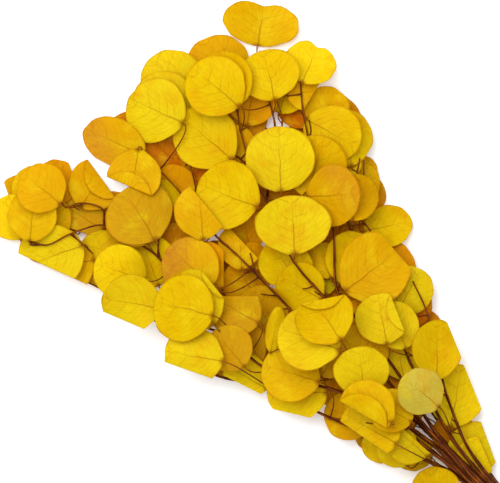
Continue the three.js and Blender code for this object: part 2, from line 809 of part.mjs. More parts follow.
// A leaf as one thin sheet, its blade and its stalk, given its thickness.
function leafSolid(blade) {
  const sheet = [];
  const half = BLADE_THICK / 2;
  const place = (u, v, lift, offset) => {
    const [x, y] = toPlan(blade, u, v);
    return sheet.push({ at: new THREE.Vector3(x, y, height(blade, u, v) + lift), offset }) - 1;
  };
  const up = new THREE.Vector3(0, 0, half);
  const [baseAt] = rimPoint(blade, Math.PI);
  const rim = [[baseAt, STALK_WIDE / 2]];
  for (let k = 1; k <= RIM_POINTS; k += 1) {
    rim.push(rimPoint(blade, Math.PI - (2 * Math.PI * k) / (RIM_POINTS + 1)));
  }
  rim.push([baseAt, -STALK_WIDE / 2]);

  const middle = place(0, 0, 0, up);
  const main = [];
  const flap = [];
  const edge = [];
  const addMain = ([u, v]) => {
    const index = place(u, v, 0, up);
    main.push(index);
    edge.push(index);
  };
  if (blade.crease) {
    const { n, side } = blade.crease;
    const outX = n[0] * blade.cos - n[1] * blade.sin;
    const outY = n[0] * blade.sin + n[1] * blade.cos;
    const turned = new THREE.Vector3(outX, outY, 0).multiplyScalar(-side * half);
    const past = rim.map(([u, v]) => pastCrease(blade, u, v));
    rim.forEach(([u, v], i) => {
      if (i > 0 && past[i - 1] * past[i] < 0) {
        const share = past[i - 1] / (past[i - 1] - past[i]);
        const [pu, pv] = rim[i - 1];
        const index = place(pu + (u - pu) * share, pv + (v - pv) * share, (side * CREASE_LIFT) / 2, turned);
        main.push(index);
        flap.push(index);
        edge.push(index);
      }
      if (past[i] <= 0) {
        addMain([u, v]);
      } else {
        const lift = side * (CREASE_LIFT + CREASE_OPENING * past[i]);
        const index = place(u - 2 * past[i] * n[0], v - 2 * past[i] * n[1], lift, up.clone().negate());
        flap.push(index);
        edge.push(index);
      }
    });
  } else {
    rim.forEach(addMain);
  }

  const faces = [];
  for (let i = 1; i < main.length; i += 1) faces.push([middle, main[i], main[i - 1]]);
  faces.push([middle, main[0], main[main.length - 1]]);
  for (let i = 2; i < flap.length; i += 1) faces.push([flap[0], flap[i], flap[i - 1]]);

  const path = [blade.stalk[0], ...fewerPoints(blade.stalk, LINE_SLACK).slice(1)];
  const thick = new THREE.Vector3(0, 0, STALK_THICK / 2);
  const lefts = [main[0]];
  const rights = [main[main.length - 1]];
  for (let i = 1; i < path.length; i += 1) {
    const before = path[i - 1];
    const after = path[Math.min(path.length - 1, i + 1)];
    const across = new THREE.Vector3(after.y - before.y, before.x - after.x, 0).setLength(STALK_WIDE / 2);
    const at = new THREE.Vector3(path[i].x, path[i].y, path[i].z);
    lefts.push(sheet.push({ at: at.clone().add(across), offset: thick }) - 1);
    rights.push(sheet.push({ at: at.clone().sub(across), offset: thick }) - 1);
    faces.push([lefts[i - 1], lefts[i], rights[i]], [lefts[i - 1], rights[i], rights[i - 1]]);
  }

  const loop = [...lefts, ...rights.slice(1).reverse(), ...edge.slice(1).reverse()];
  const count = sheet.length;
  const points = [
    ...sheet.map(({ at, offset }) => at.clone().add(offset)),
    ...sheet.map(({ at, offset }) => at.clone().sub(offset)),
  ];
  const shell = [];
  for (const [a, b, c] of faces) shell.push([a, b, c], [a + count, c + count, b + count]);
  loop.forEach((a, i) => {
    const b = loop[(i + 1) % loop.length];
    shell.push([a + count, b + count, b], [a + count, b, a]);
  });
  return solidOf(points, shell);
}

const leafColour = new THREE.MeshStandardMaterial({ color: 0xf0c80c, roughness: 0.55, metalness: 0 });

function sprayMesh(spray) {
  const solids = [...spray.lines.map(rod), ...spray.leaves.map(leafSolid)];
  const made = solids.reduce((whole, solid) => whole.add(solid)).getMesh();
  const geometry = new THREE.BufferGeometry();
  geometry.setAttribute("position", new THREE.BufferAttribute(made.vertProperties, 3));
  geometry.setIndex(new THREE.BufferAttribute(made.triVerts, 1));
  geometry.computeVertexNormals();
  const mesh = new THREE.Mesh(geometry, leafColour);
  mesh.name = spray.name;
  return mesh;
}

// The hidden stems' routes, from the cut ends to the tips.
const BENEATH_LEFT = [
  [524, 547], [493, 510], [468, 484], [405, 428], [325, 374], [245, 322], [165, 276], [100, 240], [66, 222],
];
const BENEATH_SHOULDER = [
  [530, 541], [498, 505], [472, 478], [390, 395], [310, 315], [240, 240], [185, 175], [160, 130],
];
const BENEATH_TOP = [
  [536, 535], [502, 501], [478, 472], [405, 375], [345, 285], [300, 200], [262, 120], [245, 90],
];
const BENEATH_RIGHT = [
  [542, 529], [507, 496], [484, 466], [430, 395], [388, 320], [356, 245], [335, 175], [322, 130],
];

const hidden = [
  hiddenSpray("leafy_stem_beneath_left", BENEATH_LEFT, 24, 50),
  hiddenSpray("leafy_stem_beneath_shoulder", BENEATH_SHOULDER, 55, 55),
  hiddenSpray("leafy_stem_beneath_top", BENEATH_TOP, 55, 55),
  hiddenSpray("leafy_stem_beneath_right", BENEATH_RIGHT, 50, 24),
];

const sprays = [...hidden, ...SPRAYS];
layPile(sprays);

const turnedToAxis = new THREE.Group();
turnedToAxis.rotation.z = -radians(AXIS_DEGREES);
const plan = new THREE.Group();
plan.position.set(-PLAN_ORIGIN[0], PLAN_ORIGIN[1], 0);
turnedToAxis.add(plan);
for (const spray of sprays) plan.add(sprayMesh(spray));

const bunch = new THREE.Group();
bunch.add(turnedToAxis);

export default bunch;
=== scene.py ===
"""A bunch of preserved silver-dollar eucalyptus, dyed yellow, lying on a pale surface.

Seven leafy stems show from above and four lie beneath them, all running to one bundle of cut ends. Every
leaf is laid on the pile by the same rule as the part's solids, in millimetres in the plan seen from above,
and is then modelled as a thin cupped blade with its crease, its stalk and its veins.
"""

import logging
import math
from dataclasses import dataclass, field
from enum import Enum
from functools import partial
from typing import Any, Callable

import bmesh
import bpy
import numpy as np
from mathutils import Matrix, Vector


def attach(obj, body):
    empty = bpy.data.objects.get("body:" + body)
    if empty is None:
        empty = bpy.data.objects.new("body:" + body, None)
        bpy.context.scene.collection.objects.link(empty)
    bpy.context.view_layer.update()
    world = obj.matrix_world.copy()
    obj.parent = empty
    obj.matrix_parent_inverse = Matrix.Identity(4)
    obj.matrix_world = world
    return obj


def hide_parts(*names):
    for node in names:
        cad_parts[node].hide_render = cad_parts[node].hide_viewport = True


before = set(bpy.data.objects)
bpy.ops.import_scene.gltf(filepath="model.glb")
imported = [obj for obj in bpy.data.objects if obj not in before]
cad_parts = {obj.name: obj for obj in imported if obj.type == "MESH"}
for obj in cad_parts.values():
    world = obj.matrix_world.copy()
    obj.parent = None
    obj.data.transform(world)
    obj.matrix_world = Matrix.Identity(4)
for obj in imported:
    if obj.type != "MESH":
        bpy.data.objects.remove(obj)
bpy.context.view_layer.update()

logging.basicConfig(level=logging.INFO, format="%(message)s")
log = logging.getLogger("eucalyptus")

MM = 0.001

# The plan: millimetres to the right of and below the top left corner of the view from above.
AXIS_DEGREES = 132.0
PLAN_ORIGIN = (318.7, 315.0)
VIEW_SIZE = (500.0, 483.0)

# Wood, as in the solids: the radius of a stem or twig at its root and at its tip.
STEM_RADIUS = 2.7
STEM_TIP_RADIUS = 1.1
TWIG_RADIUS = 1.3
TWIG_TIP_RADIUS = 0.9

# How the pile lies, as in the solids.
BLADE_THICK = 0.7
CLEARANCE = 1.5
WOOD_CLEARANCE = 1.3
STEEPEST_BLADE = 0.3
STEEPEST_WOOD = 0.22
DEEPEST_DRAPE = 4.0
CREASE_LIFT = 1.7
CREASE_OPENING = 0.16
STALK_WIDE = 1.6
TWIG_FREE = 11.0

# How far from its middle a blade may reach, as a share of the longer of its half width and half length.
BLADE_REACH = 1.1

# How a blade's rim stands off its plain oval: its slight point at the stalk, and how wide in radians that
# point and the notch of a notched blade are.
STALK_POINT = 0.07
STALK_POINT_WIDE = 0.4
NOTCH_WIDE = 0.28

# The finished blade's relief: how late it rises on the way out, and how its rib is rounded.
CUP_POWER = 1.4
RIB_ROUNDING = 0.06

# Bends that a blade's rim may take, where its neighbours leave room: the number of lobes, how tall they are
# in millimetres, and how late on the way out from the middle they rise.
RIM_BENDS = ((0, 2.4, 2.2), (2, 2.6, 2.2), (3, 1.6, 2.6), (5, 0.8, 3.5), (8, 0.35, 5.0))
ROOM_KEPT = 0.95

# How high in millimetres the middle of a blade and the underside of a stem lie at the least.
LOWEST_SHEET = 0.3
OFF_FLOOR = 0.05


def smooth_step(low: float, high: float, value: float) -> float:
    """Goes smoothly from 0 at low to 1 at high."""
    share = min(1.0, max(0.0, (value - low) / (high - low)))
    return share * share * (3 - 2 * share)


class Draws:
    """Numbers that come in the same order every time."""

    def __init__(self, seed: int) -> None:
        """Starts the row of numbers.

        Args:
            seed: a whole number that picks the row.
        """
        self.state = seed

    def between(self, low: float, high: float) -> float:
        """Draws the next number.

        Args:
            low: the smallest number that can come.
            high: the number that it stays under.

        Returns:
            The number drawn.
        """
        self.state = (self.state * 1664525 + 1013904223) % 4294967296
        return low + (high - low) * self.state / 4294967296


class Tone(Enum):
    """The dyed colours of the blades, as sRGB hex values. Some are darkened or brightened as painted shade
    or painted light, as marked below.
    """

    BRIGHT = "#E0C000"
    LEMON = "#E2CA0E"
    PALE = "#CCBE44"
    GOLDEN = "#DCAE00"
    HONEY = "#DC9C00"
    # Deep orange of blades low in the pile: partly their own tint, made darker as painted shade.
    ORANGE = "#CA6E00"
    OLIVE = "#C2B008"
    TAN = "#CC9E0C"
    # Darker amber: painted shade, for blades that lie deep in the pile and beneath it.
    AMBER = "#CE8800"
    # Brighter yellow: painted light, for blades that lie low or lean away, so that they stay bright in
    # their shade.
    CLEAR = "#F0D60C"


@dataclass(frozen=True)
class Fold:
    """A crease that turns part of a blade over onto it or under it.

    The part lies on the side that `degrees` points to in the plan, past a line `share` of the way from the
    blade's middle to its rim. `side` is 1 where it is turned over onto the blade and -1 where it is turned
    under.
    """

    degrees: float
    share: float
    side: int


def over(degrees: float, share: float) -> Fold:
    """A part turned over onto the blade."""
    return Fold(degrees, share, 1)


def under(degrees: float, share: float) -> Fold:
    """A part turned under the blade."""
    return Fold(degrees, share, -1)


# The blades' small differences come in the same order as in the solids.
DRAWS = Draws(91)


@dataclass
class Blade:
    """One leaf blade: its place, size and heading in the plan, its turn in the pile, and its own relief."""

    x: float
    y: float
    half_wide: float
    half_long: float
    degrees: float
    layer: float
    fold: Fold | None = None
    notch: float = 0.0
    stiff_keel: float | None = None
    flat: bool = False
    tone: Tone = Tone.BRIGHT
    blush: float = 0.0
    lean_along: float = 0.0
    lean_across: float = 0.0
    cup: float = 0.0
    keel: float = 0.0
    wave: float = 0.0
    phase: float = 0.0
    air: float = 0.0
    drape_along: float = 0.0
    drape_across: float = 0.0
    slope_along: float = 0.0
    slope_across: float = 0.0
    z: float = 0.0
    stalk: np.ndarray | None = None
    stem: Any = None
    bends: list[tuple[int, float, float, float]] = field(default_factory=list)

    def __post_init__(self) -> None:
        """Draws the blade's own relief and works out its crease line."""
        self.lean_along = DRAWS.between(-0.05, 0.05)
        self.lean_across = DRAWS.between(-0.05, 0.05)
        self.cup = DRAWS.between(-0.8, 1.8)
        self.keel = DRAWS.between(0, 1.2) if self.stiff_keel is None else self.stiff_keel
        self.wave = DRAWS.between(0, 0.8)
        self.phase = DRAWS.between(0, 2 * math.pi)
        self.air = DRAWS.between(0, 0.6)
        if self.flat:
            self.lean_along = self.lean_across = self.cup = self.keel = self.wave = self.air = 0.0
        self.cos = math.cos(math.radians(self.degrees))
        self.sin = math.sin(math.radians(self.degrees))
        if self.fold:
            across = math.radians(self.fold.degrees - self.degrees)
            self.fold_to = (math.cos(across), math.sin(across))
            reach = math.hypot(self.half_long * self.fold_to[0], self.half_wide * self.fold_to[1])
            self.fold_at = reach * self.fold.share

    def rim_share(self, angle: np.ndarray | float) -> np.ndarray | float:
        """Works out how far the rim stands out at an angle round the blade.

        Args:
            angle: the angle from the tip, in radians.

        Returns:
            The distance from the middle, as a share of the plain oval.
        """
        from_stalk = math.pi - np.abs(angle)
        point = STALK_POINT * np.exp(-((from_stalk / STALK_POINT_WIDE) ** 2))
        return 1 + point - self.notch * np.exp(-((np.asarray(angle) / NOTCH_WIDE) ** 2))

    def share_out(self, u: np.ndarray, v: np.ndarray) -> np.ndarray:
        """How far a point of the blade lies from its middle, as a share of the way to the rim."""
        angle = np.arctan2(v / self.half_wide, u / self.half_long)
        return np.hypot(u / self.half_long, v / self.half_wide) / self.rim_share(angle)

    def relief(self, u: np.ndarray, v: np.ndarray, soft: bool = False) -> np.ndarray:
        """The blade's own height above its flat plane.

        Args:
            u: distances along the blade, in millimetres.
            v: distances across it.
            soft: rounds the middle and the rib, as on the finished blade.

        Returns:
            The heights, in millimetres.
        """
        along = u / self.half_long
        across = v / self.half_wide
        out = np.hypot(along, across)
        angle = np.arctan2(across, along)
        ripple = self.wave * np.sin(3 * angle + self.phase)
        drape = self.drape_along * np.cos(angle) ** 2 + self.drape_across * np.sin(angle) ** 2
        rib = np.abs(across)
        if soft:
            bent = sum((self.bend(bend, out, angle) for bend in self.bends), np.zeros_like(out))
            rib = np.sqrt(across**2 + RIB_ROUNDING**2) - RIB_ROUNDING
            return out**CUP_POWER * (self.cup + ripple + drape) + self.keel * rib + bent
        return out * (self.cup + ripple + drape) + self.keel * rib

    @staticmethod
    def bend(bend: tuple[int, float, float, float], out: np.ndarray, angle: np.ndarray) -> np.ndarray:
        """The height that one bend of the rim gives to points of the blade."""
        lobes, tall, power, phase = bend
        return tall * out**power * np.cos(lobes * angle + phase)

    def height(self, u: np.ndarray, v: np.ndarray, soft: bool = False) -> np.ndarray:
        """The height of the blade's middle plane above the table, in millimetres."""
        return self.z + self.slope_along * u + self.slope_across * v + self.relief(u, v, soft)

    def past_fold(self, u: np.ndarray, v: np.ndarray) -> np.ndarray:
        """How far a point of the flat blade lies past the crease line."""
        return u * self.fold_to[0] + v * self.fold_to[1] - self.fold_at

    def to_plan(self, u: np.ndarray, v: np.ndarray) -> tuple[np.ndarray, np.ndarray]:
        """Turns the blade's own coordinates into the plan's."""
        return self.x + u * self.cos - v * self.sin, self.y + u * self.sin + v * self.cos

    def to_blade(self, x: np.ndarray, y: np.ndarray) -> tuple[np.ndarray, np.ndarray]:
        """Turns the plan's coordinates into the blade's own."""
        dx, dy = x - self.x, y - self.y
        return dx * self.cos + dy * self.sin, dy * self.cos - dx * self.sin

    def sheets(
        self, u: np.ndarray, v: np.ndarray, margin: float
    ) -> tuple[np.ndarray, np.ndarray, np.ndarray]:
        """Finds the blade's sheets over points of its plane.

        Args:
            u: distances along the blade.
            v: distances across it.
            margin: how far past the rim a point still counts.

        Returns:
            Where there is a sheet, and the lowest and the highest of them above the blade's middle plane.
        """
        grown = 1 + margin / min(self.half_long, self.half_wide)
        own = self.share_out(u, v) <= grown
        if not self.fold:
            nothing = np.zeros_like(u)
            return own, nothing, nothing
        past = self.past_fold(u, v)
        near = past <= margin
        back = np.maximum(0, -past)
        nu, nv = self.fold_to
        turned = near & (self.share_out(u + 2 * back * nu, v + 2 * back * nv) <= grown)
        own = own & near
        lift = self.fold.side * (CREASE_LIFT + CREASE_OPENING * back)
        low = np.minimum(np.where(own, 0.0, np.inf), np.where(turned, lift, np.inf))
        high = np.maximum(np.where(own, 0.0, -np.inf), np.where(turned, lift, -np.inf))
        return own | turned, low, high

    @property
    def half_span(self) -> float:
        """The longer of the blade's half width and half length."""
        return max(self.half_long, self.half_wide)

    @property
    def base(self) -> float:
        """Where the stalk joins the blade, along its rib."""
        return -self.half_long * float(self.rim_share(math.pi))


def leaf(
    right: float, down: float, wide: float, long: float, degrees: float, layer: float,
    fold: Fold | None = None, notch: float = 0.0, keel: float | None = None, flat: bool = False,
    tone: Tone = Tone.BRIGHT, blush: float = 0.0,
) -> Blade:
    """One leaf, by its place in the plan, its width and length, its heading and its layer."""
    return Blade(right, -down, wide / 2, long / 2, degrees, layer, fold, notch, keel, flat, tone, blush)


@dataclass
class Wood:
    """A stem or twig: its place in the pile and its route in the plan from its root to its tip."""

    layer: float
    route: list[tuple[float, float]]
    radius: float = TWIG_RADIUS
    tip_radius: float = TWIG_TIP_RADIUS
    line: np.ndarray | None = None


def stem(layer: float, route: list[tuple[float, float]]) -> Wood:
    """A leafy stem's main wood."""
    return Wood(layer, route, STEM_RADIUS, STEM_TIP_RADIUS)


@dataclass
class LeafyStem:
    """One leafy stem: its wood, with the main stem first, and its leaves."""

    name: str
    wood: list[Wood]
    leaves: list[Blade] = field(default_factory=list)
    grown: list[np.ndarray] = field(default_factory=list)


def right_edge_stem() -> LeafyStem:
    """Places the stem along the right edge.

    Returns:
        The stem with its leaves.
    """
    wood = [
        stem(8, [
            (542, 529), (507, 496), (487, 474), (466, 444), (453, 412), (446, 392), (441, 372),
            (434, 342), (427, 312), (413, 281),
        ]),
        Wood(8, [(446, 392), (440, 384), (437, 372)]),
    ]
    leaves = [
        leaf(410, 290, 48, 48, 60, 6, tone=Tone.LEMON),
        leaf(411, 305, 44, 44, 100, 5, tone=Tone.ORANGE),
        leaf(437, 349, 50, 58, 90, 10, under(22, 0.78)),
        leaf(457, 395, 58, 62, 80, 8, under(22, 0.62), tone=Tone.CLEAR),
        leaf(474, 450, 52, 56, 75, 7, under(20, 0.64), tone=Tone.LEMON),
        leaf(477, 458, 40, 42, 100, 8, under(24, 0.5), tone=Tone.CLEAR),
        leaf(438, 388, 42, 42, 110, 7),
        leaf(397, 325, 44, 48, 110, 9.2, tone=Tone.LEMON),
        leaf(382, 318, 54, 50, 100, 11, over(21, 0.61), tone=Tone.LEMON),
    ]
    return LeafyStem("leafy_stem_right_edge", wood, leaves)


def right_stem() -> LeafyStem:
    """Places the stem that comes out at the upper right edge.

    Returns:
        The stem with its leaves.
    """
    wood = [
        stem(8.6, [
            (539, 532), (505, 498), (480, 473), (458, 447), (441, 420), (425, 388), (409, 360),
            (395, 312), (371, 232), (362, 219), (356, 184), (360, 158),
        ]),
        Wood(8.6, [(362, 219), (363, 200), (364, 178), (364, 160)]),
    ]
    leaves = [
        leaf(346, 137, 54, 56, 100, 7.9),
        leaf(357, 197, 44, 46, 80, 9, tone=Tone.GOLDEN),
        leaf(362, 172, 32, 34, 60, 5, tone=Tone.GOLDEN),
        leaf(360, 183, 42, 42, 60, 6),
        leaf(349, 163, 26, 30, 90, 6, tone=Tone.CLEAR),
        leaf(389, 226, 42, 48, 12, 7),
        leaf(400, 356, 44, 44, 100, 8, tone=Tone.CLEAR),
        leaf(420, 391, 48, 46, 140, 12, tone=Tone.PALE),
        leaf(393, 398, 42, 42, 120, 6, tone=Tone.AMBER),
    ]
    return LeafyStem("leafy_stem_right", wood, leaves)


def top_right_stem() -> LeafyStem:
    """Places the stem that shows right of the middle and near the top right.

    Returns:
        The stem with its leaves.
    """
    wood = [
        stem(8.1, [
            (536, 535), (502, 501), (476, 475), (440, 438), (400, 376), (360, 322), (338, 293),
            (333, 226), (318, 172), (309, 140), (303, 110), (300, 77),
        ]),
        Wood(8.1, [(309, 140), (311, 131), (309, 120)]),
    ]
    leaves = [
        leaf(311, 62, 52, 42, 66, 8.7, notch=0.22, keel=5, tone=Tone.CLEAR),
        leaf(308, 92, 38, 40, 10, 6, under(-31, 0.3), tone=Tone.GOLDEN),
        leaf(327, 108, 46, 44, 60, 5, tone=Tone.GOLDEN),
        leaf(298, 108, 40, 40, 120, 3, tone=Tone.ORANGE),
        leaf(333, 134, 58, 58, -30, 8),
        leaf(316, 166, 62, 62, 75, 8.3),
        leaf(334, 195, 62, 52, 4, 9, tone=Tone.GOLDEN, blush=0.5),
        leaf(352, 258, 54, 54, 80, 7),
        leaf(375, 268, 72, 72, 38, 9, under(41, 0.75), tone=Tone.GOLDEN),
        leaf(322, 272, 40, 44, 100, 5, tone=Tone.OLIVE),
        leaf(324, 260, 34, 36, 110, 6),
        leaf(456, 438, 46, 50, 120, 5, tone=Tone.AMBER),
    ]
    return LeafyStem("leafy_stem_top_right", wood, leaves)


def top_stem() -> LeafyStem:
    """Places the stem that carries the topmost leaf and the large middle leaves.

    Returns:
        The stem with its leaves.
    """
    wood = [
        stem(8.5, [
            (533, 538), (500, 503), (472, 475), (432, 434), (395, 390), (352, 330), (324, 297),
            (300, 270), (287, 250), (275, 222), (266, 199), (257, 183), (245, 147), (240, 128),
            (237, 106),
        ]),
        Wood(8.5, [(267, 199), (269, 186), (276, 152), (282, 126), (282, 116), (277, 101)]),
        Wood(8.5, [(275, 154), (275, 125), (271, 107), (264, 85), (262, 62), (260, 50)]),
        Wood(8.5, [(251, 170), (242, 160), (234, 154)]),
    ]
    leaves = [
        leaf(261, 22, 78, 45, 81, 6, notch=0.24, keel=7),
        leaf(215, 86, 62, 60, 140, 12),
        leaf(223, 80, 60, 58, 125, 11),
        leaf(269, 74, 62, 50, 103, 9),
        leaf(218, 66, 66, 64, 110, 6, tone=Tone.GOLDEN),
        leaf(205, 137, 64, 66, 140, 10),
        leaf(280, 158, 70, 64, 92, 11, tone=Tone.LEMON),
        leaf(227, 195, 70, 62, 158, 11),
        leaf(293, 224, 76, 57, 93, 13, tone=Tone.LEMON),
        leaf(252, 98, 54, 52, 80, 6, tone=Tone.HONEY),
        leaf(287, 90, 46, 46, 70, 5),
        leaf(243, 116, 50, 50, 100, 4, tone=Tone.AMBER),
        leaf(233, 148, 48, 48, 110, 6, tone=Tone.GOLDEN),
        leaf(304, 265, 18, 32, 105, 7.5),
        leaf(284, 262, 52, 50, 120, 7),
        leaf(300, 287, 50, 48, 150, 8),
        leaf(363, 350, 54, 52, 15, 9, tone=Tone.GOLDEN),
        leaf(361, 370, 56, 48, 95, 12, tone=Tone.LEMON),
    ]
    return LeafyStem("leafy_stem_top", wood, leaves)


def shoulder_stem() -> LeafyStem:
    """Places the stem to the upper left shoulder.

    Returns:
        The stem with its leaves.
    """
    wood = [
        stem(8.4, [
            (527, 544), (495, 508), (466, 477), (432, 452), (404, 430), (360, 388), (322, 348),
            (288, 307), (268, 286), (253, 271), (237, 255), (217, 237), (198, 214), (178, 190),
            (154, 165), (140, 154),
        ]),
        Wood(8.4, [(256, 274), (253, 264), (250, 253)]),
        Wood(8.4, [(198, 214), (195, 185), (186, 150), (180, 120)]),
    ]
    leaves = [
        leaf(113, 141, 47, 64, 156, 11, tone=Tone.GOLDEN, blush=0.7),
        leaf(134, 176, 54, 52, 262, 11.5, over(247, 0.45), tone=Tone.GOLDEN),
        leaf(155, 110, 66, 58, 155, 10, tone=Tone.LEMON),
        leaf(163, 102, 64, 62, 150, 9, tone=Tone.LEMON),
        leaf(171, 80, 64, 62, 130, 7, tone=Tone.LEMON),
        leaf(160, 148, 54, 52, 140, 4, tone=Tone.ORANGE),
        leaf(173, 188, 48, 48, 110, 6, tone=Tone.HONEY),
        leaf(167, 194, 24, 30, 115, 7),
        leaf(190, 170, 44, 42, 120, 5, tone=Tone.ORANGE),
        leaf(201, 211, 54, 54, 95, 12, under(39, 0.28), tone=Tone.GOLDEN),
        leaf(240, 245, 44, 46, 95, 7, under(43, 0.2), tone=Tone.GOLDEN),
        leaf(253, 256, 28, 28, 100, 6, tone=Tone.HONEY),
        leaf(246, 229, 42, 42, 100, 5, tone=Tone.HONEY),
        leaf(230, 262, 50, 48, 120, 5, tone=Tone.HONEY),
        leaf(246, 282, 48, 48, 130, 5, tone=Tone.HONEY),
        leaf(262, 312, 52, 54, 120, 8, tone=Tone.TAN),
        leaf(275, 329, 18, 46, 79, 11),
        leaf(308, 338, 64, 62, 160, 12, tone=Tone.LEMON),
        leaf(324, 316, 60, 54, 125, 13, over(102, 0.63)),
        leaf(190, 266, 58, 58, 140, 10, tone=Tone.GOLDEN, blush=0.9),
        leaf(202, 268, 56, 54, 130, 9, under(0, 0.8), tone=Tone.HONEY),
        leaf(329, 363, 30, 30, 60, 9, tone=Tone.TAN),
    ]
    return LeafyStem("leafy_stem_shoulder", wood, leaves)


def left_stem() -> LeafyStem:
    """Places the long stem to the left tip.

    Returns:
        The stem with its leaves.
    """
    wood = [
        stem(8.2, [
            (530, 541), (498, 505), (469, 476), (436, 447), (405, 425), (370, 405), (343, 393),
            (312, 384), (288, 377), (263, 367), (243, 351), (226, 334), (206, 327), (188, 303),
            (169, 274), (158, 257), (132, 240), (110, 229), (101, 225), (70, 234), (46, 245),
            (28, 241),
        ]),
        Wood(8.2, [(226, 334), (219, 323), (212, 318)]),
        Wood(8.2, [(158, 256), (158, 246), (159, 237)]),
        Wood(8.2, [(104, 226), (102, 209), (80, 203), (66, 207), (60, 201)]),
        Wood(8.2, [(71, 234), (80, 242), (93, 254)]),
    ]
    leaves = [
        leaf(183, 308, 68, 59, 166, 13),
        leaf(193, 300, 64, 62, 130, 12, over(39, 0.8), tone=Tone.LEMON),
        leaf(236, 310, 52, 50, 150, 9, under(90, 0.55), tone=Tone.TAN),
        leaf(240, 346, 54, 52, 140, 8, tone=Tone.TAN),
        leaf(229, 348, 48, 46, 130, 9, tone=Tone.TAN),
        leaf(227, 353, 52, 50, 150, 7, tone=Tone.TAN),
        leaf(139, 214, 70, 58, 121, 10, tone=Tone.TAN),
        leaf(136, 217, 64, 56, 115, 9.8, tone=Tone.TAN),
        leaf(119, 271, 54, 52, 160, 11, tone=Tone.CLEAR),
        leaf(149, 260, 52, 52, 110, 4),
        leaf(82, 217, 46, 46, 150, 6, under(250, 0.66), tone=Tone.TAN),
        leaf(94, 184, 52, 52, 60, 8, over(36, 0.36), tone=Tone.GOLDEN),
        leaf(56, 181, 44, 44, 100, 6, under(20, 0.82), tone=Tone.HONEY),
        leaf(41, 188, 52, 47, 140, 10, tone=Tone.GOLDEN),
        leaf(33, 188, 46, 44, 140, 8),
        leaf(17, 192, 34, 34, 140, 7, under(200, 0.6), tone=Tone.GOLDEN),
        leaf(32, 215, 50, 50, 84, 9),
        leaf(12, 217, 46, 46, 115, 8, tone=Tone.CLEAR),
        leaf(45, 219, 52, 50, 80, 7),
        leaf(50, 257, 66, 66, 200, 8, under(246, 0.31), tone=Tone.LEMON),
        leaf(290, 373, 58, 58, 163, 9),
    ]
    return LeafyStem("leafy_stem_left", wood, leaves)


def left_edge_stem() -> LeafyStem:
    """Places the stem along the lower left edge.

    Returns:
        The stem with its leaves.
    """
    wood = [
        stem(7, [
            (524, 547), (493, 510), (467, 484), (444, 469), (418, 457), (372, 436), (330, 418),
            (290, 399), (262, 388), (240, 382), (212, 374), (180, 345), (142, 311), (109, 293),
            (84, 281),
        ]),
    ]
    leaves = [
        leaf(131, 303, 58, 58, 170, 12, under(247, 0.66), tone=Tone.LEMON),
        leaf(106, 282, 44, 44, 160, 5, under(246, 0.4)),
        leaf(102, 253, 48, 46, 105, 6),
        leaf(65, 265, 58, 56, 190, 7.5, under(246, 0.33)),
        leaf(193, 356, 58, 58, 170, 10, under(251, 0.53), tone=Tone.LEMON),
        leaf(246, 377, 46, 46, 150, 8, under(243, 0.4), tone=Tone.CLEAR),
        leaf(296, 393, 58, 58, 180, 8, under(257, 0.74), tone=Tone.CLEAR),
        leaf(349, 416, 50, 50, 160, 6.5, tone=Tone.GOLDEN),
        leaf(381, 445, 38, 38, 190, 6),
        leaf(369, 428, 60, 60, 150, 11, under(236, 0.36)),
        leaf(366, 407, 56, 56, 150, 13, over(240, 0.28)),
        leaf(397, 447, 42, 42, 120, 10, tone=Tone.LEMON),
        leaf(413, 452, 40, 40, 160, 6.6),
        leaf(436, 491, 50, 48, 100, 9),
        leaf(410, 441, 48, 44, 138, 10, under(48, 0.2), tone=Tone.LEMON),
        leaf(391, 410, 44, 44, 150, 11),
    ]
    return LeafyStem("leafy_stem_left_edge", wood, leaves)


# Leafy stems that lie beneath carry their leaves turn and turn about, at a regular pitch.
HIDDEN_PITCH = 38.0
HIDDEN_FIRST = 160.0
HIDDEN_STALK = 14.0
HIDDEN_LONG = (46, 60)
HIDDEN_PLUMP = (0.98, 1.12)
HIDDEN_STRAY = (-10, 10)


def hidden_stem(
    name: str, route: list[tuple[float, float]], left_degrees: float, right_degrees: float
) -> LeafyStem:
    """A leafy stem that lies beneath the others.

    Args:
        name: the stem's node.
        route: its way in the plan, from its cut end to its tip.
        left_degrees: how far the leaves on its left turn away from it.
        right_degrees: the same for those on its right.

    Returns:
        The stem with its leaves.
    """
    made = LeafyStem(name, [stem(1, route)])
    line = smooth_route(made.wood[0].route)
    along = HIDDEN_FIRST
    count = 0
    while along < line[-1, 3]:
        i = 1
        while i < len(line) - 1 and line[i, 3] < along:
            i += 1
        a, b = line[i - 1], line[i]
        share = (along - a[3]) / (b[3] - a[3])
        heading = math.degrees(math.atan2(b[1] - a[1], b[0] - a[0]))
        turn = left_degrees if count % 2 == 0 else -right_degrees
        degrees = heading + turn + DRAWS.between(*HIDDEN_STRAY)
        long = DRAWS.between(*HIDDEN_LONG)
        wide = long * DRAWS.between(*HIDDEN_PLUMP)
        reach = HIDDEN_STALK + long / 2
        x = a[0] + (b[0] - a[0]) * share + reach * math.cos(math.radians(degrees))
        y = a[1] + (b[1] - a[1]) * share + reach * math.sin(math.radians(degrees))
        beneath = count % 4 < 2
        layer = 0 if beneath else 2
        flat = beneath and count % 3 == 0
        # Every blade beneath takes the darker amber, as painted shade.
        made.leaves.append(leaf(x, -y, wide, long, degrees, layer, flat=flat, tone=Tone.AMBER))
        count += 1
        along += HIDDEN_PITCH
    return made


# The routes of the stems beneath, to the right and down in the plan, from the cut ends to the tips.
BENEATH_LEFT = [
    (524, 547), (493, 510), (468, 484), (405, 428), (325, 374), (245, 322), (165, 276), (100, 240),
    (66, 222),
]
BENEATH_SHOULDER = [
    (530, 541), (498, 505), (472, 478), (390, 395), (310, 315), (240, 240), (185, 175), (160, 130),
]
BENEATH_TOP = [
    (536, 535), (502, 501), (478, 472), (405, 375), (345, 285), (300, 200), (262, 120), (245, 90),
]
BENEATH_RIGHT = [
    (542, 529), (507, 496), (484, 466), (430, 395), (388, 320), (356, 245), (335, 175), (322, 130),
]


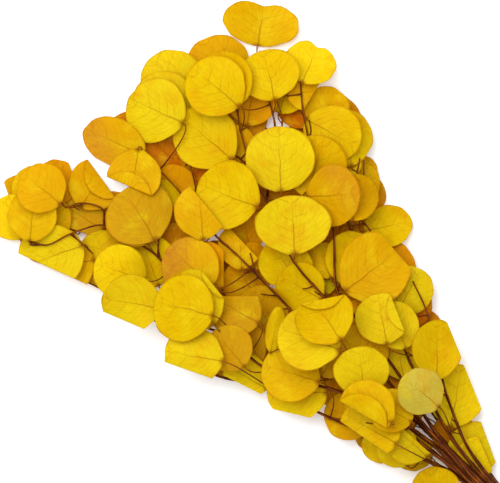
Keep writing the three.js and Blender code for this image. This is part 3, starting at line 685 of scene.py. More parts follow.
def hidden_stems() -> list[LeafyStem]:
    """Places the stems that lie beneath.

    Returns:
        The four stems with their leaves.
    """
    return [
        hidden_stem("leafy_stem_beneath_left", BENEATH_LEFT, 24, 50),
        hidden_stem("leafy_stem_beneath_shoulder", BENEATH_SHOULDER, 55, 55),
        hidden_stem("leafy_stem_beneath_top", BENEATH_TOP, 55, 55),
        hidden_stem("leafy_stem_beneath_right", BENEATH_RIGHT, 50, 24),
    ]


# How far apart the points of a stem's line are in millimetres, and how finely its length is measured.
ROUTE_STEP = 5.0
LENGTH_SAMPLES = 200


def smooth_route(route: list[tuple[float, float]]) -> np.ndarray:
    """The points of a smooth line through a route.

    Args:
        route: points in the plan, to the right and down.

    Returns:
        A row for each point: x, y, 0 and the distance along the line.
    """
    points = [np.array([right, -down, 0.0]) for right, down in route]
    last = len(points) - 1

    def at(share: float) -> np.ndarray:
        """Finds a point of the line.

        Args:
            share: how far through the route's points it is, from 0 to 1.

        Returns:
            The point.
        """
        p = last * share
        i = min(int(p), last - 1)
        t = p - i
        p1, p2 = points[i], points[i + 1]
        p0 = points[i - 1] if i > 0 else 2 * points[0] - points[1]
        p3 = points[i + 2] if i + 2 <= last else 2 * points[last] - points[last - 1]
        d0, d1, d2 = (float(np.sum((b - a) ** 2)) ** 0.25 for a, b in ((p0, p1), (p1, p2), (p2, p3)))
        t1 = ((p1 - p0) / d0 - (p2 - p0) / (d0 + d1) + (p2 - p1) / d1) * d1
        t2 = ((p2 - p1) / d1 - (p3 - p1) / (d1 + d2) + (p3 - p2) / d2) * d1
        return p1 + t1 * t + (3 * (p2 - p1) - 2 * t1 - t2) * t**2 + (2 * (p1 - p2) + t1 + t2) * t**3

    fine = np.array([at(i / LENGTH_SAMPLES) for i in range(LENGTH_SAMPLES + 1)])
    length = float(np.sum(np.linalg.norm(np.diff(fine, axis=0), axis=1)))
    steps = max(2, int(length / ROUTE_STEP + 0.5))
    line = np.array([at(i / steps) for i in range(steps + 1)])
    gaps = np.hypot(np.diff(line[:, 0]), np.diff(line[:, 1]))
    along = np.concatenate([[0.0], np.cumsum(gaps)])
    return np.column_stack([line, along])


class Pile:
    """The pile of leaves and stems: the height of its top over a grid of cells, and what lies in it."""

    CELL = 2.0
    LEFT = -36.0
    TOP = 36.0
    CELLS = 312
    TABLE = BLADE_THICK / 2 - CLEARANCE
    # How far past its own outline a piece feels the pile, and how far it raises it.
    BLADE_MARGIN = 2.0
    WOOD_MARGIN = 1.2
    RAISED_MARGIN = 0.6
    RAISED_STEP = 1.5
    # A stalk's ways: its points, its reach, how late it changes height, how it bows, and how it leaves.
    STALK_POINTS = 13
    STALK_REACH = 75.0
    STALK_BEND = 12.0
    HASTES = (0.6, 1.0, 1.7)
    BOWS = (-0.25, 0.0, 0.25)
    # How far a stalk's middle line keeps from the middle of a blade and from the skin of other wood, and
    # how far round its ways a blade or a length of wood is looked for.
    OFF_BLADE = 1.7
    OFF_WOOD = 2.4
    BLADE_SEARCH = 2
    WOOD_SEARCH = 6
    # What a way is charged beside its length in millimetres.
    THROUGH_OTHER = 400
    THROUGH_OWN = 6
    STEEP_STEP = 8
    BOWED = 30
    TURNED_BACK = 14
    TOO_SHORT = 20
    # A step is steep past this rise to its run, a way leads back where at least this share of it does, and
    # it is short under this length.
    STEEP = 1.3
    LEADS_BACK = 0.4
    SHORT = 3
    # Where a blade is measured for the room to bend its rim, how far past their outlines it and its
    # neighbours still count, and the air that counts as free.
    MEASURED_TURNS = 28
    MEASURED_REACHES = (0.45, 0.65, 0.85, 1.0)
    ROOM_OWN = 1.0
    ROOM_BLADE = 1.5
    ROOM_WOOD = 2.5
    ROOM_SEARCH = 4
    FREE_AIR = 20.0

    def __init__(self) -> None:
        """Starts with the bare table."""
        self.top = np.full((self.CELLS, self.CELLS), self.TABLE)
        self.blades: list[Blade] = []
        self.lines: list[tuple[LeafyStem, np.ndarray]] = []

    def near(self, x: float, y: float, reach: float) -> tuple[slice, slice, np.ndarray, np.ndarray]:
        """The cells round a point of the plan.

        Args:
            x: the point's place to the right.
            y: its place upwards.
            reach: how far from it a cell may lie.

        Returns:
            The rows and columns of the cells, and the places of their middles.
        """
        left = max(0, math.floor((x - reach - self.LEFT) / self.CELL))
        right = min(self.CELLS - 1, math.floor((x + reach - self.LEFT) / self.CELL))
        first = max(0, math.floor((self.TOP - (y + reach)) / self.CELL))
        last = min(self.CELLS - 1, math.floor((self.TOP - (y - reach)) / self.CELL))
        cx = self.LEFT + (np.arange(left, right + 1) + 0.5) * self.CELL
        cy = self.TOP - (np.arange(first, last + 1) + 0.5) * self.CELL
        grid_x, grid_y = np.meshgrid(cx, cy)
        return slice(first, last + 1), slice(left, right + 1), grid_x, grid_y

    def lay_blade(self, blade: Blade) -> None:
        """Lays a blade: it leans and drapes to follow what is under it, and rests on the highest of it.

        Args:
            blade: the blade.
        """
        reach = BLADE_REACH * blade.half_span + self.CELL
        rows, columns, x, y = self.near(blade.x, blade.y, reach)
        u, v = blade.to_blade(x, y)
        covered, low, high = blade.sheets(u, v, self.BLADE_MARGIN)
        top = self.top[rows, columns]
        self.lean(blade, u[covered], v[covered], top[covered])
        blade.z = 0.0
        lift = float(np.max(top[covered] + CLEARANCE - blade.height(u, v)[covered] - low[covered]))
        blade.z = lift + blade.air
        raised = np.where(covered, blade.height(u, v) + np.where(covered, high, 0.0), -np.inf)
        self.top[rows, columns] = np.maximum(top, raised)

    @staticmethod
    def lean(blade: Blade, u: np.ndarray, v: np.ndarray, h: np.ndarray) -> None:
        """Leans a blade along the slope of the pile under it and drapes it over the pile.

        Args:
            blade: the blade.
            u: distances along it, of the cells that it covers.
            v: distances across it.
            h: the pile's height there.
        """

        def trend(a: np.ndarray, b: np.ndarray) -> float:
            """How much b rises for each unit of a."""
            apart = a - a.mean()
            return float((apart * b).mean() / (apart**2).mean())

        level = h - h.mean()
        along, across = trend(u, level), trend(v, level)
        steepness = math.hypot(along, across)
        kept = STEEPEST_BLADE / steepness if steepness > STEEPEST_BLADE else 1.0
        blade.slope_along = along * kept + blade.lean_along
        blade.slope_across = across * kept + blade.lean_across
        if blade.flat:
            return
        bent = level - along * u - across * v
        drapes = trend(u * u, bent) * blade.half_long**2, trend(v * v, bent) * blade.half_wide**2
        blade.drape_along, blade.drape_across = (max(-DEEPEST_DRAPE, min(DEEPEST_DRAPE, d)) for d in drapes)

    def raise_at(self, x: float, y: float, z: float, radius: float) -> None:
        """Raises the pile to the top of a round piece at a point.

        Args:
            x: the point's place to the right.
            y: its place upwards.
            z: its height.
            radius: the piece's radius there.
        """
        reach = radius + self.RAISED_MARGIN
        rows, columns, cx, cy = self.near(x, y, reach)
        inside = np.hypot(cx - x, cy - y) < reach
        top = self.top[rows, columns]
        self.top[rows, columns] = np.where(inside, np.maximum(top, z + radius), top)

    def lay_wood(self, piece: Wood, grown: list[np.ndarray]) -> np.ndarray:
        """Lays a stem or twig along its route, on the highest of what is under it.

        Args:
            piece: the stem or twig.
            grown: the wood of its own leafy stem that is already laid, which a twig starts on.

        Returns:
            A row for each point of its line: x, y, z and its radius there.
        """
        path = smooth_route(piece.route)
        along = path[:, 3]
        x, y = path[:, 0].copy(), path[:, 1].copy()
        radius = piece.radius + (piece.tip_radius - piece.radius) * along / along[-1]
        root = self.nearest(grown, x[0], y[0]) if grown else None
        if root is not None:
            x[0], y[0] = root[0], root[1]
        need = self.TABLE + WOOD_CLEARANCE + radius
        for i in range(len(x)):
            if root is not None and along[i] < TWIG_FREE:
                continue
            reach = radius[i] + self.WOOD_MARGIN
            rows, columns, cx, cy = self.near(x[i], y[i], reach)
            inside = np.hypot(cx - x[i], cy - y[i]) < reach
            if inside.any():
                need[i] = max(need[i], self.top[rows, columns][inside].max() + WOOD_CLEARANCE + radius[i])
        z = np.array([np.max(need - STEEPEST_WOOD * np.abs(a - along)) for a in along])
        if root is not None:
            z[0] = root[2]
        line = np.column_stack([x, y, z, radius])
        for i in range(1, len(line)):
            steps = math.ceil((along[i] - along[i - 1]) / self.RAISED_STEP)
            for k in range(steps + 1):
                self.raise_at(*(line[i - 1] + (line[i] - line[i - 1]) * (k / steps)))
        return line

    @staticmethod
    def nearest(grown: list[np.ndarray], x: float, y: float) -> np.ndarray:
        """The point of a leafy stem's wood that is nearest to a point of the plan."""
        every = np.vstack(grown)
        return every[int(np.argmin(np.hypot(every[:, 0] - x, every[:, 1] - y)))]

    def grow_stalk(self, blade: Blade, own: LeafyStem) -> None:
        """Grows the stalk that joins a blade to its leafy stem by the shortest clear way.

        Args:
            blade: the blade.
            own: its leafy stem.
        """
        bu = np.array(blade.base)
        bx, by = (float(c) for c in blade.to_plan(bu, np.array(0.0)))
        bz = float(blade.height(bu, np.array(0.0)))
        ends = []
        for line in own.grown:
            far = np.hypot(line[1:, 0] - bx, line[1:, 1] - by)
            ends.extend(line[1:][far <= self.STALK_REACH])
        if not ends:
            end = self.nearest(own.grown, bx, by)
            paths, _ = self.stalk_paths(blade, bx, by, bz, np.array([end]), (1.0,), (0.0,))
            blade.stalk = paths[0]
        else:
            paths, extra = self.stalk_paths(blade, bx, by, bz, np.array(ends), self.HASTES, self.BOWS)
            worth = self.stalk_cost(paths, blade, own) + extra
            blade.stalk = paths[int(np.argmin(worth))]
        for x, y, z in blade.stalk:
            self.raise_at(x, y, z, STALK_WIDE / 2)
        radius = np.full(self.STALK_POINTS, STALK_WIDE / 2)
        self.lines.append((own, np.column_stack([blade.stalk, radius])))

    def stalk_paths(
        self, blade: Blade, bx: float, by: float, bz: float, ends: np.ndarray,
        hastes: tuple[float, ...], bows: tuple[float, ...],
    ) -> tuple[np.ndarray, np.ndarray]:
        """The ways that a stalk could take.

        Args:
            blade: its blade.
            bx: where it leaves the blade, to the right.
            by: the same, upwards.
            bz: the height there.
            ends: the points of wood that it could join.
            hastes: how late the stalk changes height.
            bows: how far it bows sideways.

        Returns:
            The points of each way, and each way's charge for its bow and its turn.
        """
        t = np.linspace(0, 1, self.STALK_POINTS)
        w0, w1, w2 = (1 - t) ** 2, 2 * t * (1 - t), t * t
        paths, extra = [], []
        for ex, ey, ez, _ in ends:
            far = math.hypot(ex - bx, ey - by)
            ahead = ((ex - bx) * blade.cos + (ey - by) * blade.sin) / (far + 1)
            bend = min(self.STALK_BEND, far / 2)
            turned = self.TURNED_BACK * max(0.0, ahead + self.LEADS_BACK)
            short = self.TOO_SHORT if far < self.SHORT else 0
            for haste in hastes:
                s = t**haste
                z = bz + (ez - bz) * (3 * s * s - 2 * s**3)
                for bow in bows:
                    mx = bx - bend * blade.cos + bow * (ey - by)
                    my = by - bend * blade.sin - bow * (ex - bx)
                    x = w0 * bx + w1 * mx + w2 * ex
                    y = w0 * by + w1 * my + w2 * ey
                    paths.append(np.column_stack([x, y, z]))
                    extra.append(self.BOWED * abs(bow) + turned + short)
        return np.array(paths), np.array(extra)

    def stalk_cost(self, paths: np.ndarray, blade: Blade, own: LeafyStem) -> np.ndarray:
        """What each way would cost: its length, with a charge where it passes through anything.

        Args:
            paths: the points of each way.
            blade: the blade that the stalk carries.
            own: its leafy stem.

        Returns:
            The cost of each way.
        """
        step = np.diff(paths, axis=1)
        run = np.hypot(step[..., 0], step[..., 1])
        rise = step[..., 2]
        steep = np.where(np.abs(rise) > self.STEEP * run, self.STEEP_STEP, 0)
        cost = (np.hypot(rise, run) + steep).sum(axis=1)
        x, y, z = paths[..., 0], paths[..., 1], paths[..., 2]
        box = x.min(), x.max(), y.min(), y.max()
        for other in self.blades:
            reach = BLADE_REACH * other.half_span + self.BLADE_SEARCH
            if other is blade or other.x + reach < box[0] or other.x - reach > box[1]:
                continue
            if other.y + reach < box[2] or other.y - reach > box[3]:
                continue
            u, v = other.to_blade(x, y)
            over_it, low, high = other.sheets(u, v, self.WOOD_MARGIN)
            over_it &= (np.abs(x - other.x) <= reach) & (np.abs(y - other.y) <= reach)
            if not over_it.any():
                continue
            level = z - other.height(u, v)
            with np.errstate(invalid="ignore"):
                above = np.where(level - high > self.OFF_BLADE, 1, 0)
                side = np.where(level - low < -self.OFF_BLADE, -1, above)
            touches = (over_it & (side == 0)).any(axis=1)
            both = over_it[:, 1:] & over_it[:, :-1]
            passes = (both & (side[:, 1:] * side[:, :-1] < 0)).any(axis=1)
            charge = self.THROUGH_OWN if other.stem is own else self.THROUGH_OTHER
            cost = cost + np.where(touches | passes, charge, 0)
        for stem_of, line in self.lines:
            if stem_of is own:
                continue
            lx, ly, apart = line[:, 0], line[:, 1], self.WOOD_SEARCH
            inside = (lx > box[0] - apart) & (lx < box[1] + apart)
            inside &= (ly > box[2] - apart) & (ly < box[3] + apart)
            if not inside.any():
                continue
            ax, ay, az, radius = line[inside].T
            far = (x[..., None] - ax) ** 2 + (y[..., None] - ay) ** 2 + (z[..., None] - az) ** 2
            meets = (far < (radius + self.OFF_WOOD) ** 2).any(axis=(1, 2))
            cost = cost + np.where(meets, self.THROUGH_OTHER, 0)
        return cost

    def lay(self, stems: list[LeafyStem]) -> None:
        """Builds up the pile from the table, layer by layer.

        Args:
            stems: every leafy stem, those beneath first.
        """
        turns: list[tuple[float, LeafyStem, Blade | None]] = []
        for one in stems:
            turns.extend((blade.layer, one, blade) for blade in one.leaves)
            turns.append((one.wood[0].layer, one, None))
        turns.sort(key=lambda turn: turn[0])
        for _, one, blade in turns:
            if blade is not None:
                self.lay_blade(blade)
                blade.stem = one
                self.blades.append(blade)
                if one.grown:
                    self.grow_stalk(blade, one)
                continue
            for piece in one.wood:
                piece.line = self.lay_wood(piece, one.grown)
                one.grown.append(piece.line)
                self.lines.append((one, piece.line))
            for waiting in one.leaves:
                if waiting.stem is not None:
                    self.grow_stalk(waiting, one)

    def bend_rims(self) -> None:
        """Bends each blade's rim, once all is laid, as far as its neighbours leave room."""
        turns = np.linspace(-math.pi, math.pi, self.MEASURED_TURNS + 1)[:-1]
        angle, out = np.meshgrid(turns, np.array(self.MEASURED_REACHES))
        angle, out = angle.ravel(), out.ravel()
        for blade in self.blades:
            u = blade.half_long * out * np.cos(angle)
            v = blade.half_wide * out * np.sin(angle)
            kept = blade.past_fold(u, v) < 0 if blade.fold else np.full(len(u), True)
            above, below = self.room(blade, u[kept], v[kept])
            for number, (lobes, tall, power) in enumerate(RIM_BENDS):
                # Some rims rise all round and some droop, and each takes its own share of a bend.
                sign = 1 if lobes or math.sin(7 * blade.phase) > -0.2 else -1
                height = sign * tall * (0.7 + 0.3 * math.sin(5 * blade.phase))
                phase = (number + 1) * blade.phase if lobes else 0.0
                raised = blade.bend((lobes, height, power, phase), out[kept], angle[kept])
                room = np.where(raised > 0, above, below) - ROOM_KEPT
                share = float(np.clip(np.min(room / (np.abs(raised) + 1e-3)), 0, 1))
                blade.bends.append((lobes, height * share, power, phase))
                above -= raised * share
                below += raised * share

    def room(self, blade: Blade, u: np.ndarray, v: np.ndarray) -> tuple[np.ndarray, np.ndarray]:
        """Measures the air over and under points of a blade.

        Args:
            blade: the blade.
            u: distances along it.
            v: distances across it.

        Returns:
            How far each point is from what lies above it and from what lies below it.
        """
        x, y = blade.to_plan(u, v)
        middle = blade.height(u, v, soft=True)
        _, low, high = blade.sheets(u, v, self.ROOM_OWN)
        top = middle + np.where(np.isfinite(high), high, 0.0)
        bottom = middle + np.where(np.isfinite(low), low, 0.0)
        above, below = np.full(len(x), self.FREE_AIR), bottom
        for other in self.blades:
            reach = BLADE_REACH * (other.half_span + blade.half_span)
            if other is blade or math.hypot(other.x - blade.x, other.y - blade.y) > reach:
                continue
            ou, ov = other.to_blade(x, y)
            there, other_low, other_high = other.sheets(ou, ov, self.ROOM_BLADE)
            if not there.any():
                continue
            level = other.height(ou, ov, soft=True)
            over_it = there & (level + other_low > (top + bottom) / 2)
            above = np.where(over_it, np.minimum(above, level + other_low - top), above)
            below = np.where(there & ~over_it, np.minimum(below, bottom - level - other_high), below)
        for _, line in self.lines:
            if line[0, 3] == STALK_WIDE / 2 and np.array_equal(line[:, :3], blade.stalk):
                continue
            reach = BLADE_REACH * blade.half_span + self.ROOM_SEARCH
            near = np.hypot(line[:, 0] - blade.x, line[:, 1] - blade.y) < reach
            for px, py, pz, radius in line[near]:
                there = np.hypot(x - px, y - py) < radius + self.ROOM_WOOD
                over_it = there & (pz > middle)
                above = np.where(over_it, np.minimum(above, pz - radius - top), above)
                below = np.where(there & ~over_it, np.minimum(below, bottom - pz - radius), below)
        return above, below


def to_part(x: np.ndarray, y: np.ndarray, z: np.ndarray) -> np.ndarray:
    """Turns points of the plan into the part's frame.

    Args:
        x: millimetres to the right.
        y: millimetres upwards, below zero.
        z: millimetres above the table.

    Returns:
        A row of metres for each point.
    """
    turn = -math.radians(AXIS_DEGREES)
    dx, dy = x - PLAN_ORIGIN[0], y + PLAN_ORIGIN[1]
    return MM * np.column_stack(
        [dx * math.cos(turn) - dy * math.sin(turn), dx * math.sin(turn) + dy * math.cos(turn), z]
    )


def linear(hex_colour: str) -> tuple[float, float, float, float]:
    """Turns an sRGB hex colour into the linear one that the shaders use.

    Args:
        hex_colour: the colour, from #000000 to #FFFFFF.

    Returns:
        Its red, green and blue, and an alpha of 1.
    """
    parts = [int(hex_colour[i : i + 2], 16) / 255 for i in (1, 3, 5)]
    r, g, b = (c / 12.92 if c <= 0.04045 else ((c + 0.055) / 1.055) ** 2.4 for c in parts)
    return r, g, b, 1.0


def add_node(
    tree: bpy.types.NodeTree,
    kind: str,
    inputs: dict[Any, Any] | tuple[Any, ...] = (),
    out: int | str = 0,
    **settings: Any,
) -> Any:
    """Adds a node with its settings and links.

    Args:
        tree: the material's node tree.
        kind: the node's type, without its family's name.
        inputs: by name, or in order, a number, a colour or the output that feeds each input.
        out: which of its outputs is wanted.
        settings: the node's own properties.

    Returns:
        The wanted output, or nothing where the node has none.
    """
    node = tree.nodes.new(f"ShaderNode{kind}")
    for name, value in settings.items():
        setattr(node, name, value)
    for name, value in inputs.items() if isinstance(inputs, dict) else enumerate(inputs):
        if isinstance(value, bpy.types.NodeSocket):
            tree.links.new(value, node.inputs[name])
        else:
            node.inputs[name].default_value = value
    return node.outputs[out] if node.outputs else None


def bare_material(name: str) -> tuple[bpy.types.Material, Callable[..., Any]]:
    """Makes a material that has no nodes yet.

    Args:
        name: its name.

    Returns:
        The material, and what adds a node to it.
    """
    made = bpy.data.materials.new(name)
    made.use_nodes = True
    made.node_tree.nodes.clear()
    return made, partial(add_node, made.node_tree)


def add_object(bm: bmesh.types.BMesh, name: str, *materials: bpy.types.Material) -> bpy.types.Object:
    """Adds a finished mesh to the scene.

    Args:
        bm: the mesh, which is used up.
        name: the object's name.
        materials: its materials, in order.

    Returns:
        The object.
    """
    mesh = bpy.data.meshes.new(name)
    bm.to_mesh(mesh)
    bm.free()
    for material in materials:
        mesh.materials.append(material)
    made = bpy.data.objects.new(name, mesh)
    bpy.context.scene.collection.objects.link(made)
    return made


# Settings that many nodes share: a smooth step, and a mix of colours, whose result is its third output.
SMOOTH = {"interpolation_type": "SMOOTHSTEP"}
COLOUR = {"data_type": "RGBA", "out": 2}

# The half length in millimetres of a middling leaf, which the leaves' own coordinates count as 1.
LEAF_HALF = 26.0


@dataclass(frozen=True)
class PreservedLeaf:
    """Eucalyptus leaf kept supple with glycerine and dyed yellow right through, satin and see-through.

    The patterns' sizes are in millimetres on a middling leaf.
    """

    name: str = "preserved_eucalyptus_leaf"
    vein_hex: str = "#A86E04"
    rib_hex: str = "#8E4C06"
    stain_hex: str = "#7E3A06"
    speck_hex: str = "#8A5206"
    blush_hex: str = "#BE7A22"
    warm_hex: str = "#DAA000"
    light_hex: str = "#ECD814"
    silk_hex: str = "#F2DCB0"
    glow_hex: str = "#F0B000"
    roughness: float = 0.5
    gloss: float = 0.04
    see_through: float = 0.3
    patch: float = 20.0
    silk_long: float = 7.647
    silk_turns: float = 9.0
    mottle: float = 3.25
    speck: float = 1.08333
    wander: float = 15.294
    net: float = 2.6
    net_shown: float = 0.12
    side_shown: float = 0.26
    rib_shown: float = 0.5
    relief: float = 0.8

    @staticmethod
    def scale(size: float) -> float:
        """A pattern's scale in a leaf's own coordinates, from its size in millimetres."""
        return LEAF_HALF / size

    def material(self) -> bpy.types.Material:
        """Builds the leaf's material.

        Returns:
            The material.
        """
        made, add = bare_material(self.name)
        place = add("Attribute", out="Vector", attribute_name="leaf_place")
        marks = add("Attribute", out="Vector", attribute_name="leaf_marks")
        along, across, seed = (add("SeparateXYZ", (place,), out=k) for k in range(3))
        out, blush, shade = (add("SeparateXYZ", (marks,), out=k) for k in range(3))
        # From the stalk: how far a point is, and at what angle it lies to the rib.
        ahead = add("Math", (along, 1.07), operation="ADD")
        from_stalk = add("CombineXYZ", (ahead, across, 0.0))
        far = add("VectorMath", (from_stalk,), out="Value", operation="LENGTH")
        past_stalk = add("Math", (ahead, 0.12), operation="ADD")
        turn = add("Math", (across, past_stalk), operation="ARCTAN2")
        # Each leaf looks at the patterns in a place of its own.
        own = add("Math", (seed, 9.0), operation="MULTIPLY")
        flat = add("CombineXYZ", (along, across, own))
        turns = add("Math", (turn, self.silk_turns), operation="MULTIPLY")
        fanned = add("CombineXYZ", (turns, far, seed))
        veins = self.veins(add, along, across, ahead, flat)
        fine = self.scale(self.silk_long)
        silk = add("TexNoise", {"Vector": fanned, "Scale": fine, "Detail": 5.0, "Roughness": 0.62})
        colour = self.dyed(add, flat, shade, silk)
        colour = self.mottled(add, colour, flat, blush)
        # The rim is painted a shade darker, a painted shadow along the leaf's edge, and the skin is stained
        # brown where the stalk joins.
        rim = add("MapRange", (out, 0.95, 1.0, 0.0, 0.45), **SMOOTH)
        colour = add("Mix", {0: rim, 6: colour, 7: linear(self.vein_hex)}, **COLOUR)
        stain = add("MapRange", (far, 0.02, 0.22, 0.8, 0.0), **SMOOTH)
        colour = add("Mix", {0: stain, 6: colour, 7: linear(self.stain_hex)}, **COLOUR)
        drawn = (
            ("net", self.net_shown, self.vein_hex),
            ("side", self.side_shown, self.vein_hex),
            ("rib", self.rib_shown, self.rib_hex),
        )
        for vein, strength, shown in drawn:
            share = add("Math", (veins[vein], strength), operation="MULTIPLY")
            colour = add("Mix", {0: share, 6: colour, 7: linear(shown)}, **COLOUR)
        side = add("Math", (veins["side"], 0.5), operation="MULTIPLY")
        lines = add("Math", (veins["rib"], side), operation="MAXIMUM")
        silky = add("Math", (silk, 0.7), operation="MULTIPLY")
        raised = add("Math", (lines, 0.6, silky), operation="MULTIPLY_ADD")
        bump = add("Bump", {"Height": raised, "Strength": 0.7, "Distance": self.relief * MM}, out="Normal")
        surface = {
            "Base Color": colour,
            "Roughness": self.roughness,
            "Specular IOR Level": self.gloss,
            "Normal": bump,
        }
        skin = add("BsdfPrincipled", surface)
        # Light that comes through the blade is warmer than the light off it.
        warmed = add("Mix", {0: 0.6, 6: colour, 7: linear(self.glow_hex)}, **COLOUR)
        glow = add("BsdfTranslucent", {"Color": warmed, "Normal": bump})
        add("OutputMaterial", (add("MixShader", (self.see_through, skin, glow)),))
        return made

    def dyed(self, add: Callable[..., Any], flat: Any, shade: Any, silk: Any) -> Any:
        """Colours the leaf with its own tone, which the dye and the leaf's own lines make uneven.

        Args:
            add: adds a node to the material.
            flat: the place on the leaf and the leaf's own number.
            shade: how much warmer the whole leaf is.
            silk: the silky lines that fan out from the stalk.

        Returns:
            The colour.
        """
        # Broad warm and light patches, a few to a leaf.
        patches = add(
            "TexNoise", {"Vector": flat, "Scale": self.scale(self.patch), "Detail": 3.0, "Roughness": 0.55}
        )
        warm = add("MapRange", (patches, 0.5, 0.74, 0.0, 0.45), **SMOOTH)
        whole = add("Math", (shade, 0.4), operation="MULTIPLY")
        warm = add("Math", (warm, whole), operation="ADD", use_clamp=True)
        tone = add("Attribute", out="Color", attribute_name="leaf_tone")
        colour = add("Mix", {0: warm, 6: tone, 7: linear(self.warm_hex)}, **COLOUR)
        light = add("MapRange", (patches, 0.5, 0.28, 0.0, 0.45), **SMOOTH)
        colour = add("Mix", {0: light, 6: colour, 7: linear(self.light_hex)}, **COLOUR)
        # The silky lines are drawn stronger than life so that they show.
        streak = add("MapRange", (silk, 0.42, 0.66, 0.0, 0.6), **SMOOTH)
        tint = {0: streak, 6: colour, 7: linear(self.silk_hex)}
        return add("Mix", tint, blend_type="MULTIPLY", **COLOUR)

    def mottled(self, add: Callable[..., Any], colour: Any, flat: Any, blush: Any) -> Any:
        """Adds the pinkish tan blush of the leaves that carry one, and brown specks.

        Args:
            add: adds a node to the material.
            colour: the leaf's colour so far.
            flat: the place on the leaf and the leaf's own number.
            blush: how much of the blush a place carries.

        Returns:
            The colour.
        """
        mottle = add(
            "TexNoise", {"Vector": flat, "Scale": self.scale(self.mottle), "Detail": 5.0, "Roughness": 0.7}
        )
        uneven = add("MapRange", (mottle, 0.3, 0.7, 0.4, 1.0), **SMOOTH)
        tanned = add("Math", (blush, uneven), operation="MULTIPLY")
        colour = add("Mix", {0: tanned, 6: colour, 7: linear(self.blush_hex)}, **COLOUR)
        # The specks are under a millimetre across and lie where the mottling is strong.
        dots = add("TexNoise", {"Vector": flat, "Scale": self.scale(self.speck), "Detail": 2.0})
        dots = add("MapRange", (dots, 0.69, 0.75, 0.0, 1.0), **SMOOTH)
        sparse = add("MapRange", (mottle, 0.44, 0.62, 0.0, 0.7), **SMOOTH)
        specks = add("Math", (dots, sparse), operation="MULTIPLY")
        return add("Mix", {0: specks, 6: colour, 7: linear(self.speck_hex)}, **COLOUR)

    def veins(
        self, add: Callable[..., Any], along: Any, across: Any, ahead: Any, flat: Any
    ) -> dict[str, Any]:
        """Draws the veins from a leaf's own coordinates.

        Args:
            add: adds a node to the material.
            along: the place along the leaf, from -1 at the stalk to 1 at the tip.
            across: the place across it, from -1 to 1.
            ahead: how far the place lies ahead of the stalk.
            flat: the place and the leaf's own number.

        Returns:
            How strongly the rib, the side veins and the net between them show.
        """
        wander = add("TexNoise", {"Vector": flat, "Scale": self.scale(self.wander), "Detail": 2.0})
        shift = add("Math", (wander, 0.5), operation="SUBTRACT")
        shifted = add("Math", (shift, 0.12, across), operation="MULTIPLY_ADD")
        aside = add("Math", (shifted,), operation="ABSOLUTE")
        # The rib is about 1 mm wide at the stalk and fades out towards the tip.
        width = add("MapRange", (along, -1.0, 0.9, 0.034, 0.010))
        off_rib = add("Math", (aside, width), operation="DIVIDE")
        rib = add("MapRange", (off_rib, 0.25, 1.0, 1.0, 0.0), **SMOOTH)
        fade = add("MapRange", (along, -0.6, 0.9, 1.0, 0.25), **SMOOTH)
        rib = add("Math", (rib, fade), operation="MULTIPLY")
        # Side veins leave it at about 50 degrees and curve towards the tip, closer together near the stalk.
        curve = add("Math", (aside, 1.3), operation="POWER")
        bent = add("Math", (curve, -0.8, ahead), operation="MULTIPLY_ADD")
        half = add("Math", (across,), operation="SIGN")
        other = add("Math", (half, 0.04, bent), operation="MULTIPLY_ADD")
        root = add("Math", (other, 0.3), operation="ADD")
        root = add("Math", (root, 0.02), operation="MAXIMUM")
        octave = add("Math", (root, 2.0), operation="LOGARITHM")
        lane = add("Math", (octave, 2.3, shift), operation="MULTIPLY_ADD")
        part = add("Math", (lane,), operation="FRACT")
        phase = add("Math", (part, 0.5), operation="SUBTRACT")
        off = add("Math", (phase,), operation="ABSOLUTE")
        thin = add("MapRange", (aside, 0.0, 0.9, 0.055, 0.02))
        off_side = add("Math", (off, thin), operation="DIVIDE")
        side = add("MapRange", (off_side, 0.3, 1.0, 1.0, 0.0), **SMOOTH)
        faint = add("MapRange", (aside, 0.1, 0.95, 1.0, 0.3), **SMOOTH)
        side = add("Math", (side, faint), operation="MULTIPLY")
        # The net between them, drawn coarser than life so that it shows.
        cells = add(
            "TexVoronoi",
            {"Vector": flat, "Scale": self.scale(self.net)},
            out="Distance",
            feature="DISTANCE_TO_EDGE",
        )
        net = add("MapRange", (cells, 0.0, 0.06, 1.0, 0.0), **SMOOTH)
        return {"rib": rib, "side": side, "net": net}


@dataclass(frozen=True)
class StemBark:
    """Preserved eucalyptus bark: smooth, satin and dark red-brown, paler towards the leaf stalks."""

    name: str = "preserved_eucalyptus_bark"
    dark_hex: str = "#421704"
    light_hex: str = "#A0560E"
    young_hex: str = "#96580A"
    roughness: float = 0.45
    gloss: float = 0.05
    streak_long: float = 17.544
    streak_scale: float = 1.9
    relief: float = 0.5

    def material(self) -> bpy.types.Material:
        """Builds the bark's material.

        Returns:
            The material.
        """
        made, add = bare_material(self.name)
        place = add("Attribute", out="Vector", attribute_name="wood_place")
        along, round_it, young = (add("SeparateXYZ", (place,), out=k) for k in range(3))
        # Streaks run along the stem: a few to its girth, each a centimetre or two long.
        per_metre = 1 / (self.streak_long * MM * self.streak_scale)
        ways = [add("Math", (along, per_metre), operation="MULTIPLY")]
        ways += [add("Math", (round_it,), operation=name) for name in ("COSINE", "SINE")]
        where = add("CombineXYZ", tuple(ways))
        streaks = add(
            "TexNoise", {"Vector": where, "Scale": self.streak_scale, "Detail": 5.0, "Roughness": 0.6}
        )
        # The paler streaks are partly the bark's own colour and partly painted highlight, the sheen along
        # the stems.
        share = add("MapRange", (streaks, 0.46, 0.7, 0.0, 1.0), **SMOOTH)
        colour = add("Mix", {0: share, 6: linear(self.dark_hex), 7: linear(self.light_hex)}, **COLOUR)
        colour = add("Mix", {0: young, 6: colour, 7: linear(self.young_hex)}, **COLOUR)
        bump = add("Bump", {"Height": streaks, "Strength": 0.6, "Distance": self.relief * MM}, out="Normal")
        bark = {
            "Base Color": colour,
            "Roughness": self.roughness,
            "Specular IOR Level": self.gloss,
            "Normal": bump,
        }
        add("OutputMaterial", (add("BsdfPrincipled", bark),))
        return made


